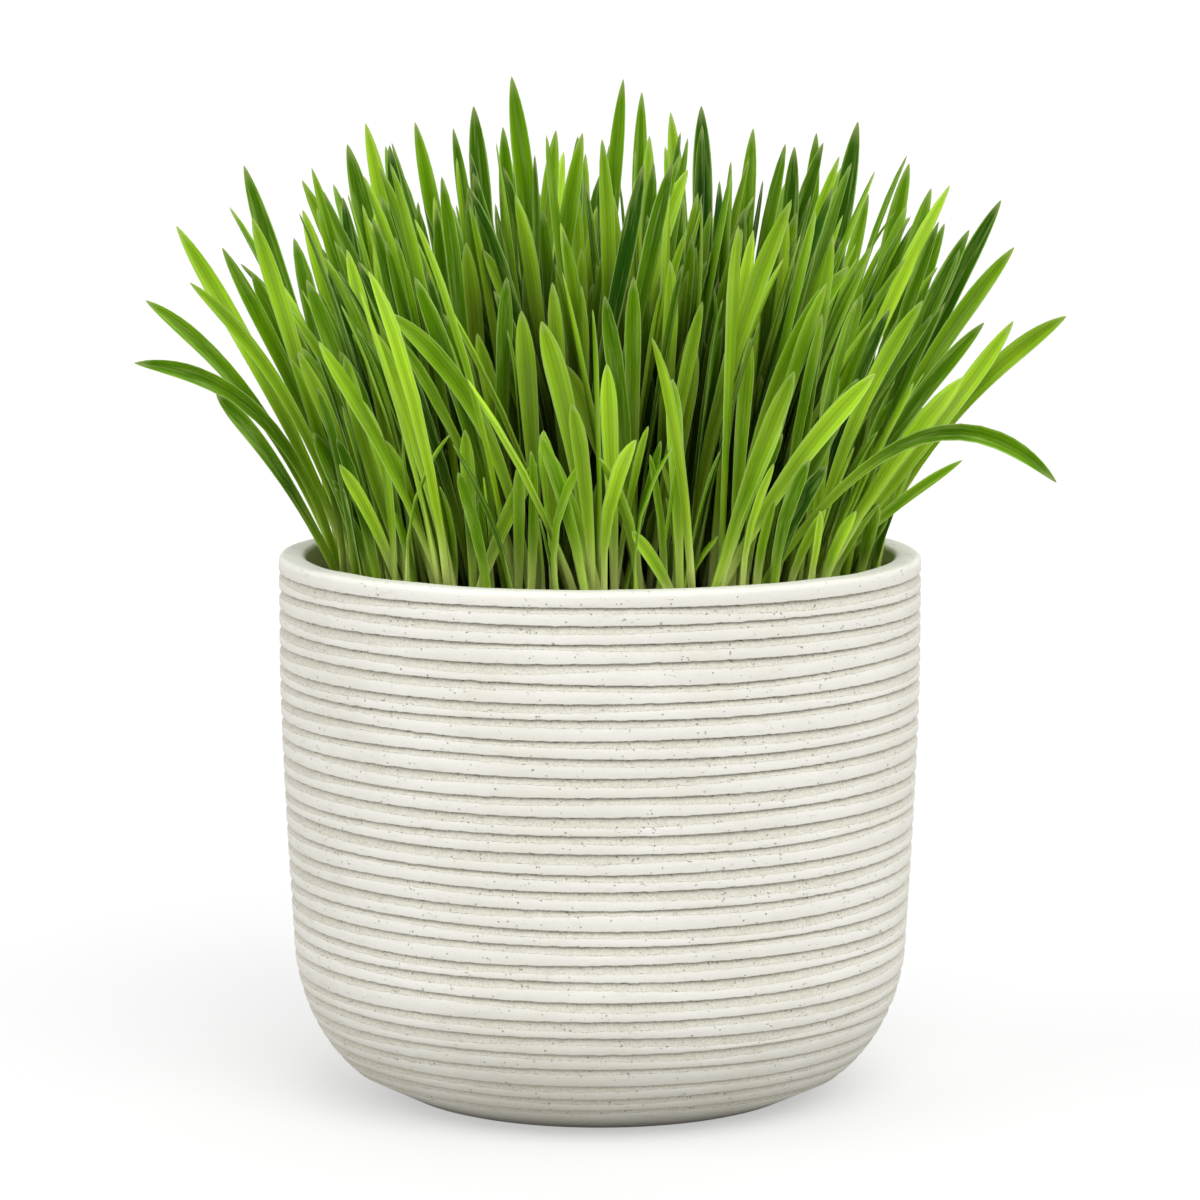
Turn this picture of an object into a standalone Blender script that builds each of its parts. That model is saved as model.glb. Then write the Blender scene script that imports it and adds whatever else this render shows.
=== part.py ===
"""Cat grass growing in a round-bottomed planter with turned ribs.

The planter is one turned shell, open at the top and filled with potting mix. The grass is sown in
clumps: each clump is a short root plug in a plain hole in the mix, with the blades that grow out of
it fused to the plug. No blade crosses a blade of another clump, the planter or the mix.

X runs across the front, +Y to the back and +Z up. The origin is the centre of the planter's flat foot.
All lengths are in metres.
"""

import math

import bmesh
import bpy
import numpy as np
from mathutils import Vector
from mathutils.bvhtree import BVHTree

MM = 0.001

# Planter
POT_RADIUS = 75 * MM
POT_HEIGHT = 127 * MM
WALL = 6.3 * MM
FLOOR = 9 * MM
TAPER_TOP = 100 * MM  # the wall is straight above this height and draws in below it
TAPER = 2.8 * MM
TAPER_POWER = 1.4
CORNER_HEIGHT = 38 * MM  # the rounded lower corner is a quarter ellipse of this height
CORNER_REACH = 30 * MM
FOOT_TURN = math.radians(84)  # how far round the corner the wall goes before it meets the flat foot
RIM_BAND = 3 * MM  # plain band under the rim
RIM_ROUND = 1.3 * MM
GROOVE_COUNT = 29
GROOVE_PITCH = 4.25 * MM  # along the wall, and on round the corner
GROOVE_WIDTH = 1.8 * MM
GROOVE_DEPTH = 0.8 * MM
GROOVE_STEP = 0.5 * MM  # the groove is deepest this far below its rib, then runs out to the next
TURN_STEPS = 28

# Potting mix
FIT_GAP = 0.3 * MM
MIX_TOP = 115 * MM
MIX_RELIEF = 0.7 * MM
MIX_RINGS = 3

# Clumps and their root plugs
CLUMP_COUNT = 45
CLUMP_SPREAD = 61 * MM  # radius of the outermost root plugs
GOLDEN_ANGLE = math.radians(137.508)
PLUG_RADIUS = 5 * MM
PLUG_TAPER = 0.6
PLUG_DEPTH = 13 * MM
PLUG_RISE = 2.4 * MM  # plug top above the mix
PLUG_SIDES = 6
SEATS = 6  # stems stand in a ring of this many seats, and one more in the middle
SEAT_RING = 3.15 * MM

# Blades
BLADES_PER_CLUMP = 6
BLADE_WIDTH = 4.0 * MM
BLADE_THICKNESS = 1.2 * MM
STEM_WIDTH = 2.0 * MM
STEM_THICKNESS = 1.8 * MM
STEM_END = 0.2  # share of the length where the round stem starts to open into a blade
WIDEST = 0.8  # share of the length where the blade is widest
TIP_POWER = 2.0
TIP_ROUND = 0.6
ROOT_SINK = 2.2 * MM  # stems start this far below the plug's top
KEEL_SHARE = 0.65  # how much of the thickness lies on the keeled back
STATIONS_STRAIGHT = (0.0, 0.4, 0.72, 0.93, 1.0)
STATIONS_BENT = (0.0, 0.22, 0.42, 0.58, 0.76, 0.93, 1.0)
BENT_FROM = math.radians(50)
CLEARANCE = 0.2 * MM
RIM_CLEARANCE = 1.2 * MM
RIM_SAMPLES = 60
TRIES = 60
SEED = 11

CAMERA_SIDE = math.radians(-90)  # a blade with this facing shows its inner face to the front

# Blades that stand out of the grass's outline or lie across its front, chosen by hand, in millimetres:
# tip (across, depth, up), root (across, depth), bend point (across, up) or None, width
OUTSTANDING = (
    # left outline, lowest first
    ((-107.5, -10, 172), (-62, -6), (-69, 170), 4.1),
    ((-88.5, -12, 165), (-64, -12), (-73, 150), 3.9),
    ((-106, 4, 185.5), (-63, 4), (-75, 166), 3.9),
    ((-94, -16, 191), (-58, -14), (-66, 167), 3.2),
    ((-98.5, 2, 203), (-64, 2), (-72, 161), 4.4),
    ((-88.5, 10, 197.5), (-62, 8), (-68, 160), 3.7),
    ((-82.5, 22, 191), (-60, 18), (-70, 165), 3.7),
    ((-83.5, 14, 216.5), (-58, 12), (-68, 166), 4.6),
    ((-80, -10, 205.5), (-56, -8), (-68, 170), 4.1),
    ((-70.5, 26, 205.5), (-54, 20), None, 3.9),
    ((-67.5, 12, 216), (-50, 10), None, 3.0),
    ((-61.5, 36, 208), (-48, 30), None, 3.6),
    ((-58.5, 0, 222), (-46, 0), None, 4.8),
    ((-55.5, 26, 226), (-44, 22), None, 4.1),
    ((-51.5, 42, 220), (-42, 36), None, 3.4),
    ((-48.5, -6, 222), (-42, -4), None, 4.1),
    # top outline, left to right
    ((-43.5, 18, 226.5), (-33, 15), None, 3.9),
    ((-35, 34, 224.5), (-28, 30), None, 3.2),
    ((-29.5, 10, 230.5), (-24, 10), None, 4.8),
    ((-23, 28, 225), (-16, 25), None, 3.9),
    ((-20.5, 4, 237.5), (-10, 5), None, 4.6),
    ((-10.5, 36, 224), (-18, 32), None, 4.1),
    ((-4, -10, 225), (-16, -8), None, 4.1),
    ((5.5, 22, 236.5), (2, 20), None, 3.6),
    ((10, 38, 233), (8, 35), None, 3.6),
    ((16.5, 12, 229), (20, 12), None, 3.9),
    ((24, 28, 230), (24, 26), None, 4.8),
    ((36.5, 34, 224.5), (32, 30), None, 3.9),
    ((45.5, 12, 221), (38, 12), None, 4.1),
    ((51.5, 32, 223.5), (44, 28), None, 3.7),
    ((60, 6, 227), (46, 6), (51, 178), 4.8),
    ((64, 32, 209), (54, 28), None, 3.4),
    ((72.5, 14, 217), (54, 12), None, 4.3),
    ((76.5, -4, 212), (58, -4), None, 4.1),
    ((77.5, -16, 205), (56, -14), None, 3.0),
    ((81.5, 22, 202.5), (60, 18), None, 3.6),
    ((86, 4, 202), (60, 4), None, 4.1),
    # right outline, highest first
    ((94, 12, 208.5), (61, 10), None, 4.1),
    ((95, -8, 199), (60, -8), None, 4.3),
    ((88, -18, 182), (62, -16), None, 3.9),
    ((94.5, -20, 182.5), (56, -18), (72, 150), 4.1),
    ((108, -2, 182.5), (62, -2), (77, 163), 4.6),
    ((92, 8, 168), (64, 6), None, 3.7),
    ((83.5, -12, 150), (64, -10), None, 2.5),
    ((102, -50, 148.5), (40, -50), (70, 182), 4.1),
    # front, left to right
    ((-57.5, -24, 199), (-50, -26), None, 3.6),
    ((-51, -15, 210), (-46, -16), None, 4.4),
    ((-58.5, -44, 152), (-47, -40), None, 3.0),
    ((-57.5, -36, 176), (-44, -42), (-53, 150), 3.9),
    ((-50, -44, 181.5), (-30, -50), None, 3.9),
    ((-47, -56, 187), (-12, -54), (-19, 167), 4.3),
    ((-30.5, -22, 200.5), (-26, -28), None, 4.6),
    ((-30, -56, 161), (-26, -52), None, 3.2),
    ((-26.5, -32, 199.5), (-4, -34), (-12, 176), 3.6),
    ((-17.5, -50, 187), (-13, -48), None, 4.4),
    ((-14, -60, 154), (-23.5, -56), None, 3.7),
    ((-13, -55, 185), (0, -52), (-4, 158), 5.0),
    ((-13, -64, 159), (3, -61), None, 3.4),
    ((-10.5, -36, 188.5), (-8, -38), None, 4.6),
    ((-7.5, -46, 174.5), (14, -50), None, 4.1),
    ((1.5, -60, 176), (5, -57), None, 3.9),
    ((7, -65, 139.5), (15.5, -62), None, 2.9),
    ((20, -22, 217), (5, -30), (2, 184), 4.6),
    ((16, -58, 172.5), (18, -56), None, 3.7),
    ((21.5, -44, 178), (17, -44), None, 4.3),
    ((34.5, -34, 204), (22, -40), None, 3.4),
    ((33.5, -48, 181), (31, -46), None, 3.4),
    ((40.5, -58, 166), (29.5, -55), None, 4.4),
    ((43, -8, 206), (34, -12), None, 4.3),
    ((55.5, -46, 196.5), (29, -48), (34, 174), 4.4),
    ((61, -56, 173.5), (36, -54), None, 4.6),
    ((53, -42, 178), (46, -42), None, 3.6),
    ((73, -32, 188), (46, -38), (52, 160), 3.7),
)

POT_COLOUR = (0.80, 0.79, 0.74, 1)
MIX_COLOUR = (0.045, 0.03, 0.02, 1)
BLADE_COLOURS = ((0.16, 0.36, 0.03, 1), (0.25, 0.47, 0.05, 1), (0.10, 0.27, 0.03, 1))


# Materials and scene


def material(name, colour, roughness):
    made = bpy.data.materials.new(name)
    made.use_nodes = True
    shader = made.node_tree.nodes["Principled BSDF"]
    shader.inputs["Base Color"].default_value = colour
    shader.inputs["Roughness"].default_value = roughness
    shader.inputs["Metallic"].default_value = 0.0
    return made


def collection(name):
    made = bpy.data.collections.new(name)
    bpy.context.scene.collection.children.link(made)
    return made


def mesh_object(name, mesh, group, finish=None):
    obj = bpy.data.objects.new(name, mesh)
    group.objects.link(obj)
    if finish:
        mesh.materials.clear()
        mesh.materials.append(finish)
    return obj


def evaluated_mesh(obj):
    """The object's mesh with its modifiers applied."""
    bpy.context.view_layer.update()
    graph = bpy.context.evaluated_depsgraph_get()
    return bpy.data.meshes.new_from_object(obj.evaluated_get(graph))


def turned(name, profile, group, finish):
    """A profile of (radius, height) points turned about the Z axis."""
    mesh = bpy.data.meshes.new(name)
    points = [(r, 0, z) for r, z in profile]
    mesh.from_pydata(points, [(i, i + 1) for i in range(len(points) - 1)], [])
    obj = mesh_object(name, mesh, group, finish)
    screw = obj.modifiers.new("turn", "SCREW")
    screw.steps = TURN_STEPS
    screw.render_steps = TURN_STEPS
    screw.use_merge_vertices = True
    screw.merge_threshold = 0.00005
    obj.data = evaluated_mesh(obj)
    obj.modifiers.clear()
    obj.data.shade_smooth()
    obj.data.set_sharp_from_angle(angle=math.radians(35))
    return obj


# Planter


def wall_radius(z):
    """Outer radius of the wall above the rounded corner."""
    drop = max(0.0, (TAPER_TOP - z) / (TAPER_TOP - CORNER_HEIGHT))
    return POT_RADIUS - TAPER * drop**TAPER_POWER


def corner_point(turn, inset=0.0, floor=0.0):
    """A point of the rounded corner, turn radians round it from the wall towards the foot."""
    reach = CORNER_REACH - inset
    height = CORNER_HEIGHT - floor
    centre = POT_RADIUS - TAPER - CORNER_REACH
    return centre + reach * math.cos(turn), CORNER_HEIGHT - height * math.sin(turn)


def outer_curve():
    """The smooth outer outline from under the rim band round to the foot, as dense points."""
    heights = np.linspace(POT_HEIGHT - RIM_BAND, CORNER_HEIGHT, 160)
    wall = [(wall_radius(z), z) for z in heights]
    corner = [corner_point(turn) for turn in np.linspace(0, FOOT_TURN, 160)[1:]]
    return np.array(wall + corner)


def ribbed_side():
    """The outer outline with a groove cut into it under the rim band and under every rib."""
    curve = outer_curve()
    steps = np.linalg.norm(np.diff(curve, axis=0), axis=1)
    along = np.concatenate([[0], np.cumsum(steps)])
    slope = np.gradient(curve, axis=0)
    slope /= np.linalg.norm(slope, axis=1)[:, None]

    def at(distance, depth):
        point = [np.interp(distance, along, curve[:, k]) for k in (0, 1)]
        way = [np.interp(distance, along, slope[:, k]) for k in (0, 1)]
        return point[0] + way[1] * depth, point[1] - way[0] * depth

    points = []
    for groove in range(GROOVE_COUNT):
        start = groove * GROOVE_PITCH
        points.append(at(start, 0))
        points.append(at(start + GROOVE_STEP, GROOVE_DEPTH))
        points.append(at(start + GROOVE_WIDTH, 0))
    points.append(at(along[-1], 0))
    return points


def inner_side(gap=0.0):
    """The cavity's outline from the floor's edge up to the rim; gap shrinks it for what lies in it."""
    corner = [corner_point(turn, WALL + gap, FLOOR + gap) for turn in np.radians((90, 60, 30))]
    heights = (CORNER_HEIGHT + 12 * MM, TAPER_TOP)
    return corner + [(wall_radius(z) - WALL - gap, z) for z in heights]


def make_pot(group):
    inner = POT_RADIUS - WALL
    rim = [
        (inner, POT_HEIGHT - RIM_ROUND),
        (inner + 0.5 * MM, POT_HEIGHT - 0.3 * MM),
        (inner + RIM_ROUND, POT_HEIGHT),
        (POT_RADIUS - RIM_ROUND, POT_HEIGHT),
        (POT_RADIUS - 0.35 * MM, POT_HEIGHT - 0.4 * MM),
        (POT_RADIUS, POT_HEIGHT - RIM_ROUND),
    ]
    foot = [(corner_point(FOOT_TURN)[0], 0)]
    profile = [(0, FLOOR)] + inner_side() + rim + ribbed_side() + foot + [(0, 0)]
    return turned("pot", profile, group, material("cast_stone", POT_COLOUR, 0.85))


# Potting mix


def relief(x, y):
    """Low lumps of the mix's surface, as three crossed waves."""
    waves = np.sin(260 * x + 1.3) * np.cos(210 * y) + np.sin(150 * x - 330 * y) + np.cos(420 * y + 90 * x)
    return MIX_RELIEF * waves / 3


def make_mix(group):
    side = inner_side(FIT_GAP)
    edge = side[-1][0]
    top = [(edge * ring / MIX_RINGS, MIX_TOP) for ring in range(MIX_RINGS)]
    profile = top + [(edge, MIX_TOP)] + side[::-1] + [(0, FLOOR + FIT_GAP)]
    mix = turned("potting_mix", profile, group, material("potting_mix", MIX_COLOUR, 0.95))
    for vertex in mix.data.vertices:
        if vertex.co.z > MIX_TOP - 1 * MM:
            vertex.co.z += relief(vertex.co.x, vertex.co.y)
    return mix


def plug_mesh(name, gap=0.0):
    """A tapered root plug with its top PLUG_RISE above the mix, or its hole with a gap all round."""
    mesh = bpy.data.meshes.new(name)
    shape = bmesh.new()
    height = PLUG_DEPTH + PLUG_RISE + 2 * gap
    corner_gap = gap / math.cos(math.pi / PLUG_SIDES)
    bmesh.ops.create_cone(
        shape,
        cap_ends=True,
        segments=PLUG_SIDES,
        radius1=PLUG_RADIUS * PLUG_TAPER + corner_gap,
        radius2=PLUG_RADIUS + corner_gap,
        depth=height,
    )
    bmesh.ops.translate(shape, verts=shape.verts, vec=(0, 0, height / 2 - PLUG_DEPTH - gap))
    shape.to_mesh(mesh)
    shape.free()
    return mesh


def cut_holes(mix, places, cutters):
    """A plain hole in the mix for each root plug."""
    for number, (x, y) in enumerate(places):
        cutter = mesh_object(f"hole_{number:02d}", plug_mesh("hole", FIT_GAP), cutters)
        cutter.location = (x, y, MIX_TOP)
        cutter.hide_render = True
        cutter.display_type = "WIRE"
    cut = mix.modifiers.new("holes", "BOOLEAN")
    cut.operation = "DIFFERENCE"
    cut.operand_type = "COLLECTION"
    cut.collection = cutters


# Blades


def clump_places():
    """Clump centres on a sunflower spiral, which covers the mix evenly."""
    number = np.arange(CLUMP_COUNT)
    radius = CLUMP_SPREAD * np.sqrt((number + 0.5) / CLUMP_COUNT)
    return np.stack([radius * np.cos(number * GOLDEN_ANGLE), radius * np.sin(number * GOLDEN_ANGLE)], axis=1)


class Blade:
    """One leaf blade: a quadratic curve from root over bend to tip, and how it is turned and how wide."""

    def __init__(self, root, bend, tip, width, facing, twist):
        self.curve = np.array([root, bend, tip], float)
        self.width = width
        self.facing = facing
        self.twist = twist

    def point(self, t):
        t = np.asarray(t)[:, None]
        root, bend, tip = self.curve
        return (1 - t) ** 2 * root + 2 * t * (1 - t) * bend + t**2 * tip

    def direction(self, t):
        t = np.asarray(t)[:, None]
        root, bend, tip = self.curve
        way = (1 - t) * (bend - root) + t * (tip - bend)
        return way / np.linalg.norm(way, axis=1)[:, None]

    def bent(self):
        start, end = self.direction((0.0, 1.0))
        return math.acos(np.clip(start @ end, -1, 1)) > BENT_FROM

    def stations(self):
        return np.array(STATIONS_BENT if self.bent() else STATIONS_STRAIGHT)

    def half_widths(self, t):
        opening = np.clip((t - STEM_END) / (WIDEST - STEM_END), 0, 1)
        opening = opening * opening * (3 - 2 * opening)
        closing = (1 - np.clip((t - WIDEST) / (1 - WIDEST), 0, 1) ** TIP_POWER) ** TIP_ROUND
        return 0.5 * (STEM_WIDTH + (self.width - STEM_WIDTH) * opening) * closing

    def thicknesses(self, t):
        opening = np.clip(t / STATIONS_STRAIGHT[1], 0, 1)
        return STEM_THICKNESS + (BLADE_THICKNESS - STEM_THICKNESS) * opening

    def inside_rim(self):
        """Whether the blade stays inside the planter's mouth until it is above the rim."""
        t = np.linspace(0, 1, RIM_SAMPLES)
        points = self.point(t)
        reach = np.hypot(points[:, 0], points[:, 1]) + self.half_widths(t)
        low = points[:, 2] < POT_HEIGHT + RIM_CLEARANCE
        return (reach[low] < POT_RADIUS - WALL - RIM_CLEARANCE).all()

    def solid(self, grow=0.0):
        """Points and triangles of the closed blade, with every side moved out by grow.

        Every ring has the blade's two edges and its keel, and the tip is one point.
        """
        t = self.stations()[:-1]
        centre = self.point(t)
        way = self.direction(t)
        turn = self.facing + self.twist * t
        face = np.stack([np.cos(turn), np.sin(turn), np.zeros_like(turn)], axis=1)
        across = np.cross(way, face)
        across /= np.linalg.norm(across, axis=1)[:, None]
        normal = np.cross(across, way)
        half = (self.half_widths(t) + grow)[:, None] * across
        thick = (self.thicknesses(t) + 2 * grow)[:, None] * normal
        inner_face = centre + (1 - KEEL_SHARE) * thick
        rings = np.stack([inner_face - half, centre - KEEL_SHARE * thick, inner_face + half], axis=1)
        tip = self.point((1.0,)) + grow * self.direction((1.0,))
        points = np.concatenate([rings.reshape(-1, 3), tip])
        last = 3 * (len(rings) - 1)
        faces = [(2, 1, 0)]
        for a in range(last):
            b = a + 1 if a % 3 < 2 else a - 2
            faces += [(a, b, b + 3), (a, b + 3, a + 3)]
        faces += [(last, last + 1, last + 3), (last + 1, last + 2, last + 3), (last + 2, last, last + 3)]
        return points, faces


def search_tree(points, faces):
    """A search tree in millimetres, where the overlap test is well above rounding."""
    return BVHTree.FromPolygons([tuple(p) for p in points / MM], faces)


class Thicket:
    """What a new blade has to stay clear of: the rim and every blade that already stands."""

    def __init__(self):
        self.boxes = np.empty((0, 6))
        self.trees = []

    def clear(self, blade):
        if not blade.inside_rim():
            return False
        points, faces = blade.solid(CLEARANCE)
        tree = search_tree(points, faces)
        low, high = points.min(axis=0), points.max(axis=0)
        near = (self.boxes[:, :3] < high).all(axis=1) & (self.boxes[:, 3:] > low).all(axis=1)
        return not any(tree.overlap(self.trees[number]) for number in np.nonzero(near)[0])

    def add(self, blade):
        points, faces = blade.solid()
        box = np.concatenate([points.min(axis=0), points.max(axis=0)])
        self.boxes = np.vstack([self.boxes, box])
        self.trees.append(search_tree(points, faces))


class Seats:
    """The places in the root plugs where stems start, each taken by one blade."""

    def __init__(self, places):
        turns = np.arange(SEATS) * 2 * math.pi / SEATS
        ring = SEAT_RING * np.stack([np.cos(turns), np.sin(turns)], axis=1)
        pattern = np.vstack([ring, [[0, 0]]])
        self.points = (places[:, None] + pattern).reshape(-1, 2)
        self.clumps = np.repeat(np.arange(len(places)), len(pattern))
        self.free = np.ones(len(self.points), bool)

    def nearest(self, wish, clump=None):
        """Free seats, the nearest to the wished point first, of one clump or of all."""
        usable = self.free if clump is None else self.free & (self.clumps == clump)
        numbers = np.nonzero(usable)[0]
        return numbers[np.argsort(np.linalg.norm(self.points[numbers] - wish, axis=1))]

    def taken(self, clump):
        return np.count_nonzero(~self.free[self.clumps == clump])

    def root(self, number):
        return np.array([*self.points[number], MIX_TOP + PLUG_RISE - ROOT_SINK])


def outstanding_blades(row, seats):
    """The blade of one row, then the same blade moved in depth and turned until it stands clear."""
    tip, root, bend, width = row
    for shift in (0, 3, -3, 6, -6, 9, -9):
        end = (np.array(tip) + (0, shift, 0)) * MM
        for seat in seats.nearest(np.array(root) * MM)[:4]:
            start = seats.root(seat)
            knee = start + (end - start) * (0.38, 0.4, 0.6)
            if bend:
                knee = np.array([bend[0] * MM, knee[1], bend[1] * MM])
            for turn in (12, -12, 35, -35, 60, -60):
                facing = CAMERA_SIDE + math.radians(turn)
                yield seat, Blade(start, knee, end, width * MM, facing, math.radians(-turn))


def drawn_blades(clump, place, seats, draw):
    """Blades drawn at random: taller and upright in the middle, shorter and leaning at the edge."""
    spread = np.linalg.norm(place) / CLUMP_SPREAD
    for _ in range(TRIES):
        out = math.atan2(place[1], place[0]) + draw.normal(0, 0.35 + 1.6 * (1 - spread) ** 2)
        backward = max(0.0, place[1] / CLUMP_SPREAD)
        lean = math.radians((18 + 8 * backward) * spread**1.3 + abs(draw.normal(0, 5.5)))
        length = draw.uniform(76, 110) * MM if spread < 0.8 else draw.uniform(52, 100) * MM
        flat = np.array([math.cos(out), math.sin(out), 0])
        seat = seats.nearest(place + SEAT_RING * flat[:2], clump)[0]
        root = seats.root(seat)
        tip = root + length * (math.sin(lean) * flat + np.array([0, 0, math.cos(lean)]))
        side = np.array([-flat[1], flat[0], 0]) * draw.normal(0, 2.5) * MM
        bend = root + (tip - root) * (0.38, 0.38, 0.6) + side
        width = np.clip(draw.normal(BLADE_WIDTH, 0.5 * MM), 3 * MM, 5 * MM)
        yield seat, Blade(root, bend, tip, width, draw.uniform(0, 2 * math.pi), draw.normal(0, 0.5))


def grow_blades(places):
    """Every blade as (clump, blade): the outstanding ones first, then drawn ones in the room left."""
    thicket = Thicket()
    seats = Seats(places)
    blades = []

    def plant(candidates):
        for seat, blade in candidates:
            if thicket.clear(blade):
                thicket.add(blade)
                seats.free[seat] = False
                blades.append((seats.clumps[seat], blade))
                return

    for row in OUTSTANDING:
        plant(outstanding_blades(row, seats))
    draw = np.random.default_rng(SEED)
    for turn in range(BLADES_PER_CLUMP):
        for clump, place in enumerate(places):
            if seats.taken(clump) <= turn:
                plant(drawn_blades(clump, place, seats, draw))
    return blades


def make_clump(number, place, blades, group, finish):
    """One clump: its root plug and blades, joined in one solid."""
    plug = mesh_object(f"clump_{number + 1:02d}", plug_mesh("plug"), group, finish)
    plug.location = (*place, MIX_TOP)
    joined = collection("joined")
    for blade in blades:
        points, faces = blade.solid()
        mesh = bpy.data.meshes.new("blade")
        mesh.from_pydata([tuple(p) for p in points], [], faces)
        mesh_object("blade", mesh, joined)
    union = plug.modifiers.new("blades", "BOOLEAN")
    union.operation = "UNION"
    union.operand_type = "COLLECTION"
    union.collection = joined
    whole = evaluated_mesh(plug)
    plug.modifiers.clear()
    plug.data = whole
    for blade in list(joined.objects):
        bpy.data.objects.remove(blade)
    bpy.data.collections.remove(joined)
    return plug


def main():
    for obj in list(bpy.data.objects):
        bpy.data.objects.remove(obj)
    parts = collection("potted_cat_grass")
    cutters = collection("cutters")
    make_pot(parts)
    mix = make_mix(parts)
    places = clump_places()
    cut_holes(mix, places, cutters)
    greens = [material(f"blade_{n + 1}", colour, 0.45) for n, colour in enumerate(BLADE_COLOURS)]
    blades = grow_blades(places)
    for number, place in enumerate(places):
        own = [blade for clump, blade in blades if clump == number]
        make_clump(number, place, own, parts, greens[number % len(greens)])


main()
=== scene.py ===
"""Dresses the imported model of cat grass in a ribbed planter.

The planter, the potting mix and every clump of grass are made again here as fine surfaces, each in the
place of its CAD node, and get their finishes. The blades of the CAD clumps are worked out again by the
same rule and from the same draws, then further blades are grown in the room between them.
"""

import math
from typing import NamedTuple

import bpy
import numpy as np
from bpy.props import FloatProperty, FloatVectorProperty, IntProperty, PointerProperty
from mathutils.bvhtree import BVHTree
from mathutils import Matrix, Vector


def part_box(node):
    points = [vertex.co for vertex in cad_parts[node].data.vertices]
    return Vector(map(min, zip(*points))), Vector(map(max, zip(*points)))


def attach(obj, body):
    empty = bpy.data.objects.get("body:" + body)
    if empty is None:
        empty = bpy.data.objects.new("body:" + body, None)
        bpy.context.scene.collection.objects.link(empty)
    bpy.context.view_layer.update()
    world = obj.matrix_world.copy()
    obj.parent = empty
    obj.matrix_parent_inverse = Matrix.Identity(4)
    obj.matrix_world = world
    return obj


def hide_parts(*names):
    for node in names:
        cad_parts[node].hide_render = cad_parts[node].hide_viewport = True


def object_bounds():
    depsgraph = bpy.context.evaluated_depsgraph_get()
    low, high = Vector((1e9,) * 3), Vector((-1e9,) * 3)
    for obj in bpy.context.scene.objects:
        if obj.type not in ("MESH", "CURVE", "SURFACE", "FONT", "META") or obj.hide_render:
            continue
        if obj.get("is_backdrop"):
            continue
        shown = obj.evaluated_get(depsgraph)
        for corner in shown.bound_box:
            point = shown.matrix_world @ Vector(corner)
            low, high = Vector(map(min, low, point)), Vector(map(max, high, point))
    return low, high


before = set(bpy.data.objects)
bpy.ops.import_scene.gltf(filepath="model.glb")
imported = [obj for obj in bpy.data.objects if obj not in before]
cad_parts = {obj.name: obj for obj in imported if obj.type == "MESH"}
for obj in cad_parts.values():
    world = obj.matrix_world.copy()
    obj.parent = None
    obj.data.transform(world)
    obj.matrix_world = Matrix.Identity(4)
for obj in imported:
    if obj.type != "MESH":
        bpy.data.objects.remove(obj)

bl_info = {
    "name": "Potted Cat Grass",
    "version": (1, 0, 0),
    "blender": (4, 5, 0),
    "location": "View3D > Sidebar > Cat Grass",
    "description": "Makes a ribbed planter of cat grass with its finishes and a pale studio",
    "category": "Add Mesh",
}

MM = 0.001
CAD_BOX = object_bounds()

# Planter outline, as in the CAD
POT_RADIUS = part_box("pot")[1][0]
POT_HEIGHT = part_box("pot")[1][2]
WALL = 6.3 * MM
FLOOR = 9 * MM
TAPER_TOP = 100 * MM
TAPER = 2.8 * MM
TAPER_POWER = 1.4
CORNER_HEIGHT = 38 * MM
CORNER_REACH = 30 * MM
WALL_FROM = CORNER_HEIGHT + 4 * MM  # lowest ring of the cavity's wall
FOOT_TURN = math.radians(84)
CAVITY_CORNER = 10  # degrees above level at which the cavity's rounded corner ends
RIM_BAND = 3 * MM
RIM_ROUND = 1.3 * MM
GROOVE_COUNT = 29
GROOVE_PITCH = 4.25 * MM

# Clumps and blades, as in the CAD
MIX_TOP = 115 * MM
CLUMP_COUNT = 45
CLUMP_SPREAD = 61 * MM
GOLDEN_ANGLE = math.radians(137.508)
PLUG_RISE = 2.4 * MM
SEATS = 6
SEAT_RING = 3.15 * MM
BLADES_PER_CLUMP = 6
BLADE_THICKNESS = 1.2 * MM
STEM_WIDTH = 2.0 * MM
STEM_THICKNESS = 1.8 * MM
STEM_END = 0.2
WIDEST = 0.8
TIP_POWER = 2.0
TIP_ROUND = 0.6
ROOT_SINK = 2.2 * MM
KEEL_SHARE = 0.65
STATIONS_STRAIGHT = (0.0, 0.4, 0.72, 0.93, 1.0)
STATIONS_BENT = (0.0, 0.22, 0.42, 0.58, 0.76, 0.93, 1.0)
BENT_FROM = math.radians(50)
CLEARANCE = 0.2 * MM
RIM_CLEARANCE = 1.2 * MM
RIM_SAMPLES = 60
TRIES = 60
SEED = 11
CAMERA_SIDE = math.radians(-90)
SHIFTS = (0, 3, -3, 6, -6, 9, -9)  # moves in depth that an outstanding blade tries, in millimetres
TURNS_TRIED = (12, -12, 35, -35, 60, -60)  # degrees that it turns from the camera
SEATS_TRIED = 4
RISE = 0.6  # share of a blade's height at which it bends
EARLY = 0.38  # share of its lean that it has there
EARLY_DEPTH = 0.4  # the same in depth, for an outstanding blade
MORE_LEAN = 8  # degrees that blades at the back lean more
LEAN_POWER = 1.3
EDGE_FROM = 0.8  # share of the way to the edge from which blades are shorter

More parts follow.
